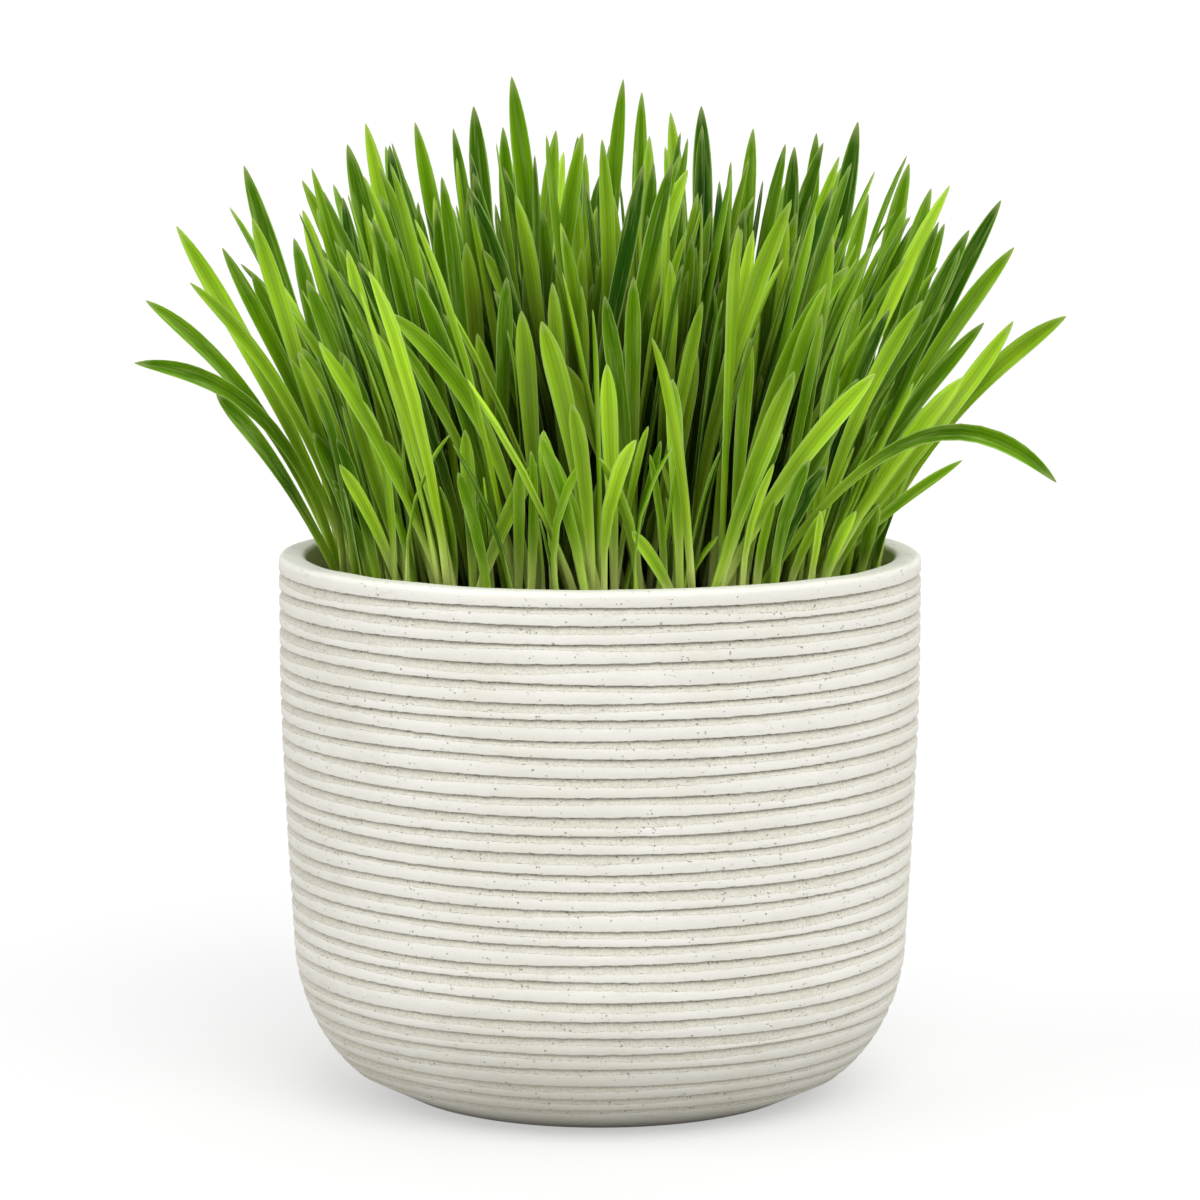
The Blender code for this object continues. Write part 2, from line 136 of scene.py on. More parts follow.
# The CAD's blades that stand out of the outline or lie across the front, in millimetres: tip (across,
# depth, up), root (across, depth), width, and for some the bend point (across, up)
OUTSTANDING = (
    # left outline, lowest first
    ((-107.5, -10, 172), (-62, -6), 4.1, (-69, 170)),
    ((-88.5, -12, 165), (-64, -12), 3.9, (-73, 150)),
    ((-106, 4, 185.5), (-63, 4), 3.9, (-75, 166)),
    ((-94, -16, 191), (-58, -14), 3.2, (-66, 167)),
    ((-98.5, 2, 203), (-64, 2), 4.4, (-72, 161)),
    ((-88.5, 10, 197.5), (-62, 8), 3.7, (-68, 160)),
    ((-82.5, 22, 191), (-60, 18), 3.7, (-70, 165)),
    ((-83.5, 14, 216.5), (-58, 12), 4.6, (-68, 166)),
    ((-80, -10, 205.5), (-56, -8), 4.1, (-68, 170)),
    ((-70.5, 26, 205.5), (-54, 20), 3.9),
    ((-67.5, 12, 216), (-50, 10), 3.0),
    ((-61.5, 36, 208), (-48, 30), 3.6),
    ((-58.5, 0, 222), (-46, 0), 4.8),
    ((-55.5, 26, 226), (-44, 22), 4.1),
    ((-51.5, 42, 220), (-42, 36), 3.4),
    ((-48.5, -6, 222), (-42, -4), 4.1),
    # top outline, left to right
    ((-43.5, 18, 226.5), (-33, 15), 3.9),
    ((-35, 34, 224.5), (-28, 30), 3.2),
    ((-29.5, 10, 230.5), (-24, 10), 4.8),
    ((-23, 28, 225), (-16, 25), 3.9),
    ((-20.5, 4, 237.5), (-10, 5), 4.6),
    ((-10.5, 36, 224), (-18, 32), 4.1),
    ((-4, -10, 225), (-16, -8), 4.1),
    ((5.5, 22, 236.5), (2, 20), 3.6),
    ((10, 38, 233), (8, 35), 3.6),
    ((16.5, 12, 229), (20, 12), 3.9),
    ((24, 28, 230), (24, 26), 4.8),
    ((36.5, 34, 224.5), (32, 30), 3.9),
    ((45.5, 12, 221), (38, 12), 4.1),
    ((51.5, 32, 223.5), (44, 28), 3.7),
    ((60, 6, 227), (46, 6), 4.8, (51, 178)),
    ((64, 32, 209), (54, 28), 3.4),
    ((72.5, 14, 217), (54, 12), 4.3),
    ((76.5, -4, 212), (58, -4), 4.1),
    ((77.5, -16, 205), (56, -14), 3.0),
    ((81.5, 22, 202.5), (60, 18), 3.6),
    ((86, 4, 202), (60, 4), 4.1),
    # right outline, highest first
    ((94, 12, 208.5), (61, 10), 4.1),
    ((95, -8, 199), (60, -8), 4.3),
    ((88, -18, 182), (62, -16), 3.9),
    ((94.5, -20, 182.5), (56, -18), 4.1, (72, 150)),
    ((108, -2, 182.5), (62, -2), 4.6, (77, 163)),
    ((92, 8, 168), (64, 6), 3.7),
    ((83.5, -12, 150), (64, -10), 2.5),
    ((102, -50, 148.5), (40, -50), 4.1, (70, 182)),
    # front, left to right
    ((-57.5, -24, 199), (-50, -26), 3.6),
    ((-51, -15, 210), (-46, -16), 4.4),
    ((-58.5, -44, 152), (-47, -40), 3.0),
    ((-57.5, -36, 176), (-44, -42), 3.9, (-53, 150)),
    ((-50, -44, 181.5), (-30, -50), 3.9),
    ((-47, -56, 187), (-12, -54), 4.3, (-19, 167)),
    ((-30.5, -22, 200.5), (-26, -28), 4.6),
    ((-30, -56, 161), (-26, -52), 3.2),
    ((-26.5, -32, 199.5), (-4, -34), 3.6, (-12, 176)),
    ((-17.5, -50, 187), (-13, -48), 4.4),
    ((-14, -60, 154), (-23.5, -56), 3.7),
    ((-13, -55, 185), (0, -52), 5.0, (-4, 158)),
    ((-13, -64, 159), (3, -61), 3.4),
    ((-10.5, -36, 188.5), (-8, -38), 4.6),
    ((-7.5, -46, 174.5), (14, -50), 4.1),
    ((1.5, -60, 176), (5, -57), 3.9),
    ((7, -65, 139.5), (15.5, -62), 2.9),
    ((20, -22, 217), (5, -30), 4.6, (2, 184)),
    ((16, -58, 172.5), (18, -56), 3.7),
    ((21.5, -44, 178), (17, -44), 4.3),
    ((34.5, -34, 204), (22, -40), 3.4),
    ((33.5, -48, 181), (31, -46), 3.4),
    ((40.5, -58, 166), (29.5, -55), 4.4),
    ((43, -8, 206), (34, -12), 4.3),
    ((55.5, -46, 196.5), (29, -48), 4.4, (34, 174)),
    ((61, -56, 173.5), (36, -54), 4.6),
    ((53, -42, 178), (46, -42), 3.6),
    ((73, -32, 188), (46, -38), 3.7, (52, 160)),
)

# Fine blades: rings up to the widest place, rings from there to the tip, and points in a ring
CLOSE = (14, 8, 10)  # the outstanding blades
PLAIN = (5, 4, 6)  # all the others, which are there in hundreds
FINE_TIP = 0.74
BLADE_EDGE = math.radians(75)
LAMINA = 0.42 * MM
FINE_STEM = 1.8 * MM
FLAT_FROM = 0.1  # place along a blade where it starts to get flat
FLAT_OVER = 0.3
FOLD = 0.62
FOLD_ROUND = 0.03  # rounds the fold at the midrib
THICKEST = 1.6  # times the half-width
CAP_DEPTH = 0.2 * MM

# Further blades
SLIM = 0.55 * MM  # thickness that further blades keep clear of
FILL_REACH = 67 * MM
FILL_CROWDING = 0.44  # below 0.5, roots lie closer together towards the rim
FILL_SCATTER = 0.12  # radians that a root strays from its spiral
FILL_RIM_CLEARANCE = 0.3 * MM
FILL_TRIES = 26
EARLY_LESS = 0.18  # how much less of EARLY a blade at the rim has, so that it rises steeply first
SHOOT_EVERY = 4  # one further blade in this many is a short young shoot
SHOOT_LENGTHS = (24, 66)
SHOOT_SLIM = 0.7
FRONT_ROW = -46 * MM  # only shoots are added in front of this, where outstanding blades stand free
FRONT_HEIGHT = 165 * MM
# Dome that the tips of further blades stay under: height and widest reach, in millimetres
DOME = ((138, 68), (165, 75), (185, 82), (200, 81), (210, 74), (220, 60), (228, 38), (235, 8))
DOME_SHIFT = 3 * MM  # how far the dome's middle lies to the right
FILL_SEED = 29
SHADE_SEED = 5
SHADES = (0.47, 0.26)  # mean and standard deviation, from 0 for the darkest blades to 1
BACK_PAINTED_SHADE = 0.1  # painted shade: how much darker the blades get towards the back
FRONT_FROM = 45  # first row of OUTSTANDING that lies across the front
# Painted light: the blades across the front are drawn brighter, as lit blades.
FRONT_PAINTED_LIGHT = (0.55, 1)

# Fine planter
TURNS = 336
OUTLINE_POINTS = 300
LINE_SEED = 3
EDGE_ANGLE = math.radians(32)
FIRST_GROOVE = 0.2 * MM
GROOVE_SCATTER = 0.18 * MM
RIM_BAND_LEAST = 0.35 * MM
STEEP = 0.34 * MM  # height of a groove's steep upper side
GROOVE_WIDTHS = (0.95 * MM, 2.4 * MM)
# Waves round the planter: fewest and most in a turn, and how fast they weaken
SLOW_WAVES = (1, 7, 0.6)
WIDTH_WAVES = (1, 9, 0.5)
DEPTH_WAVES = (2, 30, 0.5)
CHIP_WAVES = (40, 160, 0.2)
RIM_WAVES = (2, 24, 0.9)
RIM_SWAY = 0.09 * MM
RIM_SWAY_MOST = 0.3 * MM
RIM_ROWS = 10  # rows of the rim that sway
FOOT = ((1.6, 0.5), (0.4, 0.12), (-0.5, 0))  # beyond the foot's edge and height, in millimetres

# Fine potting mix
MIX_GAP = 0.25 * MM
MIX_SIDES, MIX_RINGS = 220, 96
MOUND_REACH = 6.5 * MM
MOUND_RISE = 1.5 * MM
MIX_RISE = 0.9 * MM
LUMPS = ((7.0, 0.5), (3.2, 0.42), (1.7, 0.34))  # size and rise, in millimetres
LUMP_WAVES = 5
LUMP_SEED = 8
CRUMB = (2.4 * MM, 1.7 * MM, 21, 0.35 * MM)  # length, width, seed of its draws, lift off the mix
HUSK = (6.5 * MM, 2.4 * MM, 22, 0.5 * MM)
GRAIN_SIDES = 6
GRAIN_THICK = 0.36  # half of a grain's thickness, as a share of its width
GRAIN_PROFILE = ((-0.42, 0.55), (-0.15, 0.98), (0.15, 0.98), (0.42, 0.5))  # place along, girth

# Stage
CAMERA_DISTANCE = 1.143
CAMERA_HEIGHT = 0.265
CAMERA_PITCH = math.radians(7.45)
FRAME_PIXELS = 1200
FOCAL_PIXELS = 4920
SENSOR = 36
FLOOR_RADIUS = 40
FLOOR_SIDES = 96
LAMPS = (("key", 22, 48, 50), ("left", -70, 30, 60), ("right", 96, 30, 60), ("back", 180, 45, 60))


# Helpers for meshes and materials


def new_piece(name, points, faces, material, attributes=(), replaced=(), sharp=None):
    """Puts points and faces in a mesh object at the origin, which rides on the root body.

    Edges that bend by more than the angle sharp are shaded as edges.
    """
    mesh = bpy.data.meshes.new(name)
    mesh.from_pydata(points, [], faces)
    for label, values in attributes:
        layer = mesh.attributes.new(label, "FLOAT", "POINT")
        layer.data.foreach_set("value", np.ascontiguousarray(values, np.float32).ravel())
    mesh.polygons.foreach_set("use_smooth", np.ones(len(mesh.polygons), bool))
    mesh.validate()
    mesh.update()
    if sharp:
        mesh.set_sharp_from_angle(angle=sharp)
    mesh.materials.append(material)
    piece = bpy.data.objects.new(name, mesh)
    bpy.context.scene.collection.objects.link(piece)
    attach(piece, "root")
    if replaced:
        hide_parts(*replaced)
    return piece


def tube_faces(rings, sides, start, end, count=1, each=0):
    """Faces of count closed tubes, whose points are numbered each apart and begin with their rings.

    Quads lie between rings, each ring after the one before it. Triangles join the first ring to the
    point numbered start and the last ring to the point numbered end.
    """
    ring = np.arange(rings - 1)[:, None] * sides
    side = np.arange(sides)
    turn = (side + 1) % sides
    quads = np.stack([ring + side, ring + turn, ring + turn + sides, ring + side + sides], axis=-1)
    last = (rings - 1) * sides
    low, high = np.full(sides, start), np.full(sides, end)
    ends = np.stack([[turn, side, low], [last + side, last + turn, high]], axis=1).T
    first = np.arange(count)[:, None, None] * each
    return (quads.reshape(-1, 4) + first).reshape(-1, 4), (ends.reshape(-1, 3) + first).reshape(-1, 3)


def circle(sides):
    """Angles spaced evenly round a circle."""
    return np.linspace(0, 2 * math.pi, sides, endpoint=False)


def polar(radius, angles, *height):
    """Points at the given radius and angles, as (x, y), or with their height."""
    return np.stack([radius * np.cos(angles), radius * np.sin(angles), *height], axis=-1)


def ease(value):
    """value held between 0 and 1, with a smooth start and end."""
    value = np.clip(value, 0, 1)
    return value * value * (3 - 2 * value)


def unit(vectors):
    """The vectors, each drawn to length 1."""
    return vectors / np.linalg.norm(vectors, axis=-1, keepdims=True)


def colour_setting(name, description, default):
    return FloatVectorProperty(
        name=name, description=description, default=default, min=0, max=1, size=3, subtype="COLOR"
    )


def length_setting(name, description, default, low, high):
    """A length, given in millimetres."""
    return FloatProperty(
        name=name, description=description, default=default * MM, min=low * MM, max=high * MM,
        precision=5, unit="LENGTH", subtype="DISTANCE",
    )


def amount_setting(name, description, default, low, high):
    return IntProperty(name=name, description=description, default=default, min=low, max=high)


def strength_setting(name, description, default):
    return FloatProperty(name=name, description=description, default=default, min=0)


class Nodes:
    """The node tree of a new material or world, built one node at a time. Noise scales are per metre."""

    def __init__(self, name, kind="materials", shader="Principled BSDF"):
        self.owner = getattr(bpy.data, kind).new(name)
        self.owner.use_nodes = True
        self.tree = self.owner.node_tree
        self.shader = self.tree.nodes[shader]

    def add(self, kind, inputs=None, **settings):
        node = self.tree.nodes.new("ShaderNode" + kind)
        for key, value in settings.items():
            setattr(node, key, value)
        for key, value in (inputs or {}).items():
            self.feed(node.inputs[key], value)
        return node

    def feed(self, socket, value):
        if isinstance(value, bpy.types.NodeSocket):
            self.tree.links.new(value, socket)
        else:
            socket.default_value = value

    def sense(self, name):
        return self.add("Attribute", attribute_name=name).outputs["Fac"]

    def place(self):
        return self.add("TexCoord").outputs["Object"]

    def noise(self, scale, detail=3.0, roughness=0.5, vector=None, stretch=None):
        vector = vector or self.place()
        if stretch:
            vector = self.add("Mapping", {"Vector": vector, "Scale": stretch}).outputs["Vector"]
        inputs = {"Vector": vector, "Scale": scale, "Detail": detail, "Roughness": roughness}
        return self.add("TexNoise", inputs).outputs["Fac"]

    def math(self, operation, a, b=0.0, clamp=False):
        return self.add("Math", {0: a, 1: b}, operation=operation, use_clamp=clamp).outputs[0]

    def times(self, a, b):
        return self.math("MULTIPLY", a, b)

    def span(self, value, low, high, to_low=0.0, to_high=1.0, smooth=True):
        """value taken from the span low to high, onto to_low to to_high."""
        kind = "SMOOTHSTEP" if smooth else "LINEAR"
        inputs = {"Value": value, "From Min": low, "From Max": high, "To Min": to_low, "To Max": to_high}
        return self.add("MapRange", inputs, interpolation_type=kind).outputs["Result"]

    def mix(self, factor, a, b, blend="MIX"):
        node = self.add("Mix", data_type="RGBA", blend_type=blend)
        self.feed(node.inputs["Factor"], factor)
        self.feed(node.inputs["A"], colour4(a))
        self.feed(node.inputs["B"], colour4(b))
        return node.outputs["Result"]

    def ramp(self, value, stops):
        node = self.add("ValToRGB", {"Fac": value})
        steps = node.color_ramp.elements
        while len(steps) < len(stops):
            steps.new(0.5)
        for step, (position, colour) in zip(steps, stops):
            step.position = position
            step.color = colour4(colour)
        return node.outputs["Color"]

    def bump(self, height, distance, strength=1.0, normal=None):
        inputs = {"Height": height, "Distance": distance, "Strength": strength}
        if normal:
            inputs["Normal"] = normal
        return self.add("Bump", inputs).outputs["Normal"]

    def finish(self, inputs):
        """Feeds the shader's inputs and gives the material or world."""
        for key, value in inputs.items():
            self.feed(self.shader.inputs[key], value)
        return self.owner


def colour4(value):
    """A colour with its alpha, or a socket as it is."""
    return value if isinstance(value, bpy.types.NodeSocket) else (*value[:3], 1.0)


# Planter


def wall_radius(z):
    """Outer radius of the wall above the rounded corner."""
    drop = np.maximum(0.0, (TAPER_TOP - z) / (TAPER_TOP - CORNER_HEIGHT))
    return POT_RADIUS - TAPER * drop**TAPER_POWER


def corner_points(turns, inset=0.0, floor=0.0):
    """Points of the rounded corner, a quarter ellipse from the wall towards the foot."""
    centre = POT_RADIUS - TAPER - CORNER_REACH
    across = centre + (CORNER_REACH - inset) * np.cos(turns)
    return np.stack([across, CORNER_HEIGHT - (CORNER_HEIGHT - floor) * np.sin(turns)], axis=1)


def outer_curve():
    """The smooth outline under the rim band as points, their distance along it and its direction."""
    heights = np.linspace(POT_HEIGHT - RIM_BAND, CORNER_HEIGHT, OUTLINE_POINTS)
    wall = np.stack([wall_radius(heights), heights], axis=1)
    curve = np.vstack([wall, corner_points(np.linspace(0, FOOT_TURN, OUTLINE_POINTS)[1:])])
    along = np.concatenate([[0], np.cumsum(np.linalg.norm(np.diff(curve, axis=0), axis=1))])
    return curve, along, unit(np.gradient(curve, axis=0))


def ripples(draw, rows, angles, shape):
    """Random waves round the planter, in the given number of rows.

    Each row is a sum of sines of low to high whole waves a turn, with drawn phases and strengths that
    fall off as the number of waves to the power fall. Its strength is about 1.
    """
    low, high, fall = shape
    waves = np.arange(low, high)
    strength = draw.normal(size=(rows, len(waves))) * waves.astype(float) ** -fall
    strength /= np.sqrt((strength**2).sum(axis=1) / 2)[:, None]
    phase = draw.uniform(0, 2 * math.pi, (rows, len(waves)))
    return (strength[:, :, None] * np.sin(waves[:, None] * angles + phase[:, :, None])).sum(axis=1)


def grooved_side(sizes, angles):
    """The ribbed side as rows of (radius, height, in groove, on edge) round the planter.

    Every groove's upper edge lies a whole number of pitches down the outline, shifted by a slow and a
    fine random wave, and its width varies the same way. Its floor is deepest under the rib above and
    slopes out to a small step at the rib below, whose upper edge is worn.
    """
    draw = np.random.default_rng(LINE_SEED)
    curve, along, slope = outer_curve()
    slow = ripples(draw, GROOVE_COUNT, angles, SLOW_WAVES)
    chips = ripples(draw, GROOVE_COUNT, angles, CHIP_WAVES)
    width_wave = ripples(draw, GROOVE_COUNT, angles, WIDTH_WAVES)
    low_chips = ripples(draw, GROOVE_COUNT, angles, CHIP_WAVES)
    depth_wave = ripples(draw, GROOVE_COUNT, angles, DEPTH_WAVES)
    set_off = draw.normal(0, GROOVE_SCATTER, (GROOVE_COUNT, 1))
    start = np.arange(GROOVE_COUNT)[:, None] * GROOVE_PITCH + FIRST_GROOVE + set_off
    start = np.maximum(start + sizes.wander * slow, RIM_BAND_LEAST) + sizes.chipping * chips
    width = sizes.groove_width + sizes.width_change * width_wave + sizes.chipping * low_chips
    width = np.clip(width, *GROOVE_WIDTHS)
    depth = sizes.groove_depth * (1 + 0.1 * depth_wave)
    nil = np.zeros_like(start)
    # Down the outline: distance, depth cut, share in the groove and share on its edge
    # The edge share carries the dirt at a rib's upper edge and the painted shade in the corner under the
    # rib above.
    rows = (
        (start - 0.25 * MM, nil, 0.0, 0.0),
        (start, nil + 0.07 * MM, 0.0, 0.45),
        (start + 0.08 * MM, depth, 0.6, 1.0),
        (start + STEEP, 0.98 * depth, 0.9, 0.42),
        (start + STEEP + 0.4 * (width - STEEP), 0.74 * depth, 1.0, 0.0),
        (start + width - 0.12 * MM, 0.25 * depth, 0.8, 0.0),
        (start + width, 0.22 * depth, 0.6, 0.7),
        (start + width + 0.08 * MM, nil + 0.08 * MM, 0.35, 0.15),
        (start + width + 0.4 * MM, nil, 0.0, 0.0),
    )
    distance, cut, inside, edge = (
        np.stack([value + nil for value in column], axis=1).reshape(-1, len(angles))
        for column in zip(*rows)
    )
    across, up, run, rise = (np.interp(distance, along, column) for column in (*curve.T, *slope.T))
    return across + rise * cut, up - run * cut, inside, edge


def rim_rows():
    """The cavity's side and the rim over to its outer face, as (radius, height) points, bottom to top.

    The rim's inner and outer edges are quarter circles.
    """
    corner = corner_points(np.radians(np.linspace(90, CAVITY_CORNER, 7)), WALL, FLOOR)
    heights = np.linspace(WALL_FROM, POT_HEIGHT - RIM_ROUND, 6)
    wall = np.stack([wall_radius(heights) - WALL, heights], axis=1)
    turns = np.radians(np.linspace(0, 90, 5))[1:]
    top = POT_HEIGHT - RIM_ROUND
    inner = POT_RADIUS - WALL + RIM_ROUND
    outer = POT_RADIUS - RIM_ROUND
    lip_in = np.stack([inner - RIM_ROUND * np.cos(turns), top + RIM_ROUND * np.sin(turns)], axis=1)
    lip_out = np.stack([outer + RIM_ROUND * np.sin(turns), top + RIM_ROUND * np.cos(turns)], axis=1)
    flat = [((inner + outer) / 2, POT_HEIGHT)]
    return np.vstack([corner, wall, lip_in, flat, [(outer, POT_HEIGHT)], lip_out])


def planter_surface(sizes):
    """The whole planter as a turned grid: floor, cavity, rim, ribbed side and foot, closed at the axis."""
    angles = circle(TURNS)
    plain = rim_rows()
    draw = np.random.default_rng(LINE_SEED + 1)
    spread = np.ones(TURNS)
    radius, height = plain[:, :1] * spread, plain[:, 1:] * spread
    sway = ripples(draw, 1, angles, RIM_WAVES)
    height[-RIM_ROWS:] -= np.clip(RIM_SWAY * (sway + 1), 0, RIM_SWAY_MOST)
    side_radius, side_height, inside, edge = grooved_side(sizes, angles)
    foot_edge = corner_points(np.array([FOOT_TURN]))[0, 0]
    foot = np.array(FOOT) * MM + (foot_edge, 0)
    foot = np.vstack([foot, (foot_edge / 2, 0)])
    radius = np.vstack([radius, side_radius, foot[:, :1] * spread])
    height = np.vstack([height, side_height, foot[:, 1:] * spread])
    blank = np.zeros((len(plain), TURNS))
    below = np.zeros((len(foot), TURNS))
    groove = np.append(np.vstack([blank, inside, below]), (0, 0))
    lines = np.append(np.vstack([blank, edge, below]), (0, 0))
    rings = polar(radius, angles, height).reshape(-1, 3)
    points = np.vstack([rings, [(0, 0, FLOOR)], [(0, 0, 0)]])
    quads, ends = tube_faces(len(radius), TURNS, len(rings), len(rings) + 1)
    return points, quads[:, ::-1].tolist() + ends[:, ::-1].tolist(), (("groove", groove), ("line", lines))


def planter_finish(colours):
    """Cast, off-white and chalky: smooth ribs with specks, sandy grooves, dirt along the ribs' upper edges
    and painted shade in the corner under each rib.
    """
    nodes = Nodes("planter_cast_stone")
    groove = nodes.sense("groove")
    line = nodes.sense("line")
    broad = nodes.noise(30, 4, 0.55)
    streaks = nodes.noise(150, 4, 0.65, stretch=(1, 1, 6))
    sand = nodes.noise(2100, 3, 0.7)
    patchy = nodes.noise(330, 4, 0.7, stretch=(1, 1, 2))
    rib = nodes.mix(nodes.span(broad, 0.35, 0.65), colours.rib, colours.rib_shade)
    rib = nodes.mix(nodes.span(streaks, 0.54, 0.76, 0, 0.6), rib, colours.groove)
    rib = nodes.mix(nodes.span(sand, 0.5, 0.75, 0, 0.12), rib, colours.groove_dark)
    recess = nodes.mix(nodes.span(sand, 0.35, 0.7), colours.groove, colours.groove_dark)
    sandy = nodes.times(groove, nodes.span(patchy, 0.25, 0.7, 1.0, 0.6))
    colour = nodes.mix(sandy, rib, recess)
    worn = nodes.math("ADD", patchy, nodes.times(sand, 0.35))
    # Dirt along a rib's upper edge and painted shade in the corner under the rib above, broken up by the
    # worn mask.
    along_edge = nodes.span(line, 0.15, 1.0, smooth=False)
    dirt_and_shade = nodes.times(along_edge, nodes.span(worn, 0.5, 0.78, 0.2, 1.0))
    colour = nodes.mix(nodes.times(dirt_and_shade, 0.7), colour, colours.dirt_and_shade)
    flecks = nodes.span(nodes.noise(1000, 2, 0.6, stretch=(1, 1, 1.6)), 0.58, 0.64)
    flecks = nodes.times(flecks, nodes.span(line, 0.1, 0.6))
    colour = nodes.mix(nodes.times(flecks, 0.75), colour, colours.dirt_and_shade)
    pits = 0.0
    for scale, thin, low in ((1100.0, 0.17, 0.585), (600.0, 0.1, 0.64)):
        cells = nodes.add("TexVoronoi", {"Vector": nodes.place(), "Scale": scale, "Randomness": 1.0})
        spots = nodes.span(cells.outputs["Distance"], thin, thin * 1.8, 1.0, 0.0)
        some = nodes.span(nodes.noise(scale * 0.33, 3, 0.6, stretch=(1, 1, 2.5)), low, low + 0.05)
        pits = nodes.math("MAXIMUM", nodes.times(spots, some), pits)
    colour = nodes.mix(nodes.times(pits, 0.55), colour, colours.pit)
    grain = nodes.times(sand, nodes.span(groove, 0.0, 1.0, 0.22, 1.0))
    soft = nodes.bump(nodes.noise(420, 4, 0.6), 0.16 * MM, 0.35)
    rough = nodes.bump(grain, 0.3 * MM, 0.6, soft)
    return nodes.finish({
        "Base Color": colour,
        "Roughness": nodes.span(groove, 0.0, 1.0, 0.74, 0.95),
        "Specular IOR Level": 0.25,
        "Normal": nodes.bump(nodes.math("SUBTRACT", 1.0, pits), 0.3 * MM, 0.9, rough),
    })


class PlanterSettings(bpy.types.PropertyGroup):
    """Sizes and colours of the planter."""

    groove_width: length_setting("Groove Width", "Height of the sunk strip between two ribs", 1.8, 0.5, 3)
    groove_depth: length_setting("Groove Depth", "How far the strips are sunk", 0.8, 0.1, 2)
    width_change: length_setting("Width Change", "How much a groove's width varies round it", 0.34, 0, 1)
    wander: length_setting("Wander", "How far a groove strays up and down round it", 0.2, 0, 1)
    chipping: length_setting("Chipping", "Roughness of the ribs' edges", 0.045, 0, 0.5)
    rib: colour_setting("Rib", "Colour of the raised ribs", (0.765, 0.75, 0.69))
    rib_shade: colour_setting("Rib Shade", "Second colour of the ribs", (0.81, 0.8, 0.75))
    groove: colour_setting("Groove", "Colour of the sandy grooves", (0.68, 0.655, 0.57))
    groove_dark: colour_setting("Groove Shade", "Colour of the grooves' dark grains", (0.5, 0.47, 0.385))
    pit: colour_setting("Pit", "Colour of the small pits", (0.2, 0.16, 0.085))
    # Also paints the shade in the corner under each rib.
    dirt_and_shade: colour_setting("Dirt", "Colour of the dirt along the ribs' edges", (0.15, 0.13, 0.095))


class CATGRASS_OT_planter(bpy.types.Operator):
    """Make the ribbed planter"""

    bl_idname = "catgrass.planter"
    bl_label = "Planter"

    def execute(self, context):
        sizes = context.scene.catgrass_planter
        points, faces, attributes = planter_surface(sizes)
        finish = planter_finish(sizes)
        new_piece("planter", points, faces, finish, attributes, ["pot"], EDGE_ANGLE)
        return {"FINISHED"}


# Potting mix


def clump_places():
    """Clump centres on a sunflower spiral, which covers the mix evenly."""
    number = np.arange(CLUMP_COUNT)
    radius = CLUMP_SPREAD * np.sqrt((number + 0.5) / CLUMP_COUNT)
    return polar(radius, number * GOLDEN_ANGLE)


def mix_height(x, y):
    """Height of the mix's crumbly surface: a low mound at every clump, and three sizes of lumps."""
    places = clump_places()
    gaps = np.hypot(x[..., None] - places[:, 0], y[..., None] - places[:, 1])
    mounds = np.exp(-((gaps / MOUND_REACH) ** 2)).sum(axis=-1)
    lumps = np.zeros_like(x)
    draw = np.random.default_rng(LUMP_SEED)
    for size, rise in LUMPS:
        for _ in range(LUMP_WAVES):
            way = draw.uniform(0, math.pi)
            run = (x * math.cos(way) + y * math.sin(way)) * 2 * math.pi / (size * MM)
            wave = np.sin(run + draw.uniform(0, 6.3) + 2 * np.sin(run * 0.37))
            lumps += rise * MM / LUMP_WAVES**0.5 * wave
    return MIX_TOP + MIX_RISE + MOUND_RISE * np.minimum(mounds, 1) + lumps


def mix_surface():
    """The mix as one closed body: a lumpy top that is polar in plan, and its side down to the floor."""
    edge = POT_RADIUS - WALL - MIX_GAP
    angles = circle(MIX_SIDES)
    radius = edge * np.sqrt(np.linspace(0, 1, MIX_RINGS + 1)[1:])[::-1, None]
    x, y = radius * np.cos(angles), radius * np.sin(angles)
    top = np.stack([x, y, mix_height(x, y)], axis=-1)
    turns = np.radians(np.linspace(90, CAVITY_CORNER, 6))
    corner = corner_points(turns, WALL + MIX_GAP, FLOOR + MIX_GAP)
    heights = np.linspace(WALL_FROM, MIX_TOP - 2 * MM, 5)
    wall = np.stack([np.minimum(wall_radius(heights) - WALL - MIX_GAP, edge), heights], axis=1)
    under = np.vstack([corner, wall])[:, :, None] * np.ones(MIX_SIDES)
    grid = np.concatenate([polar(under[:, 0], angles, under[:, 1]), top])
    rings = grid.reshape(-1, 3)
    middle = mix_height(np.zeros(1), np.zeros(1))[0]
    points = np.vstack([rings, [(0, 0, FLOOR + MIX_GAP)], [(0, 0, middle)]])
    quads, ends = tube_faces(len(grid), MIX_SIDES, len(rings), len(rings) + 1)
    return points, quads.tolist() + ends.tolist()


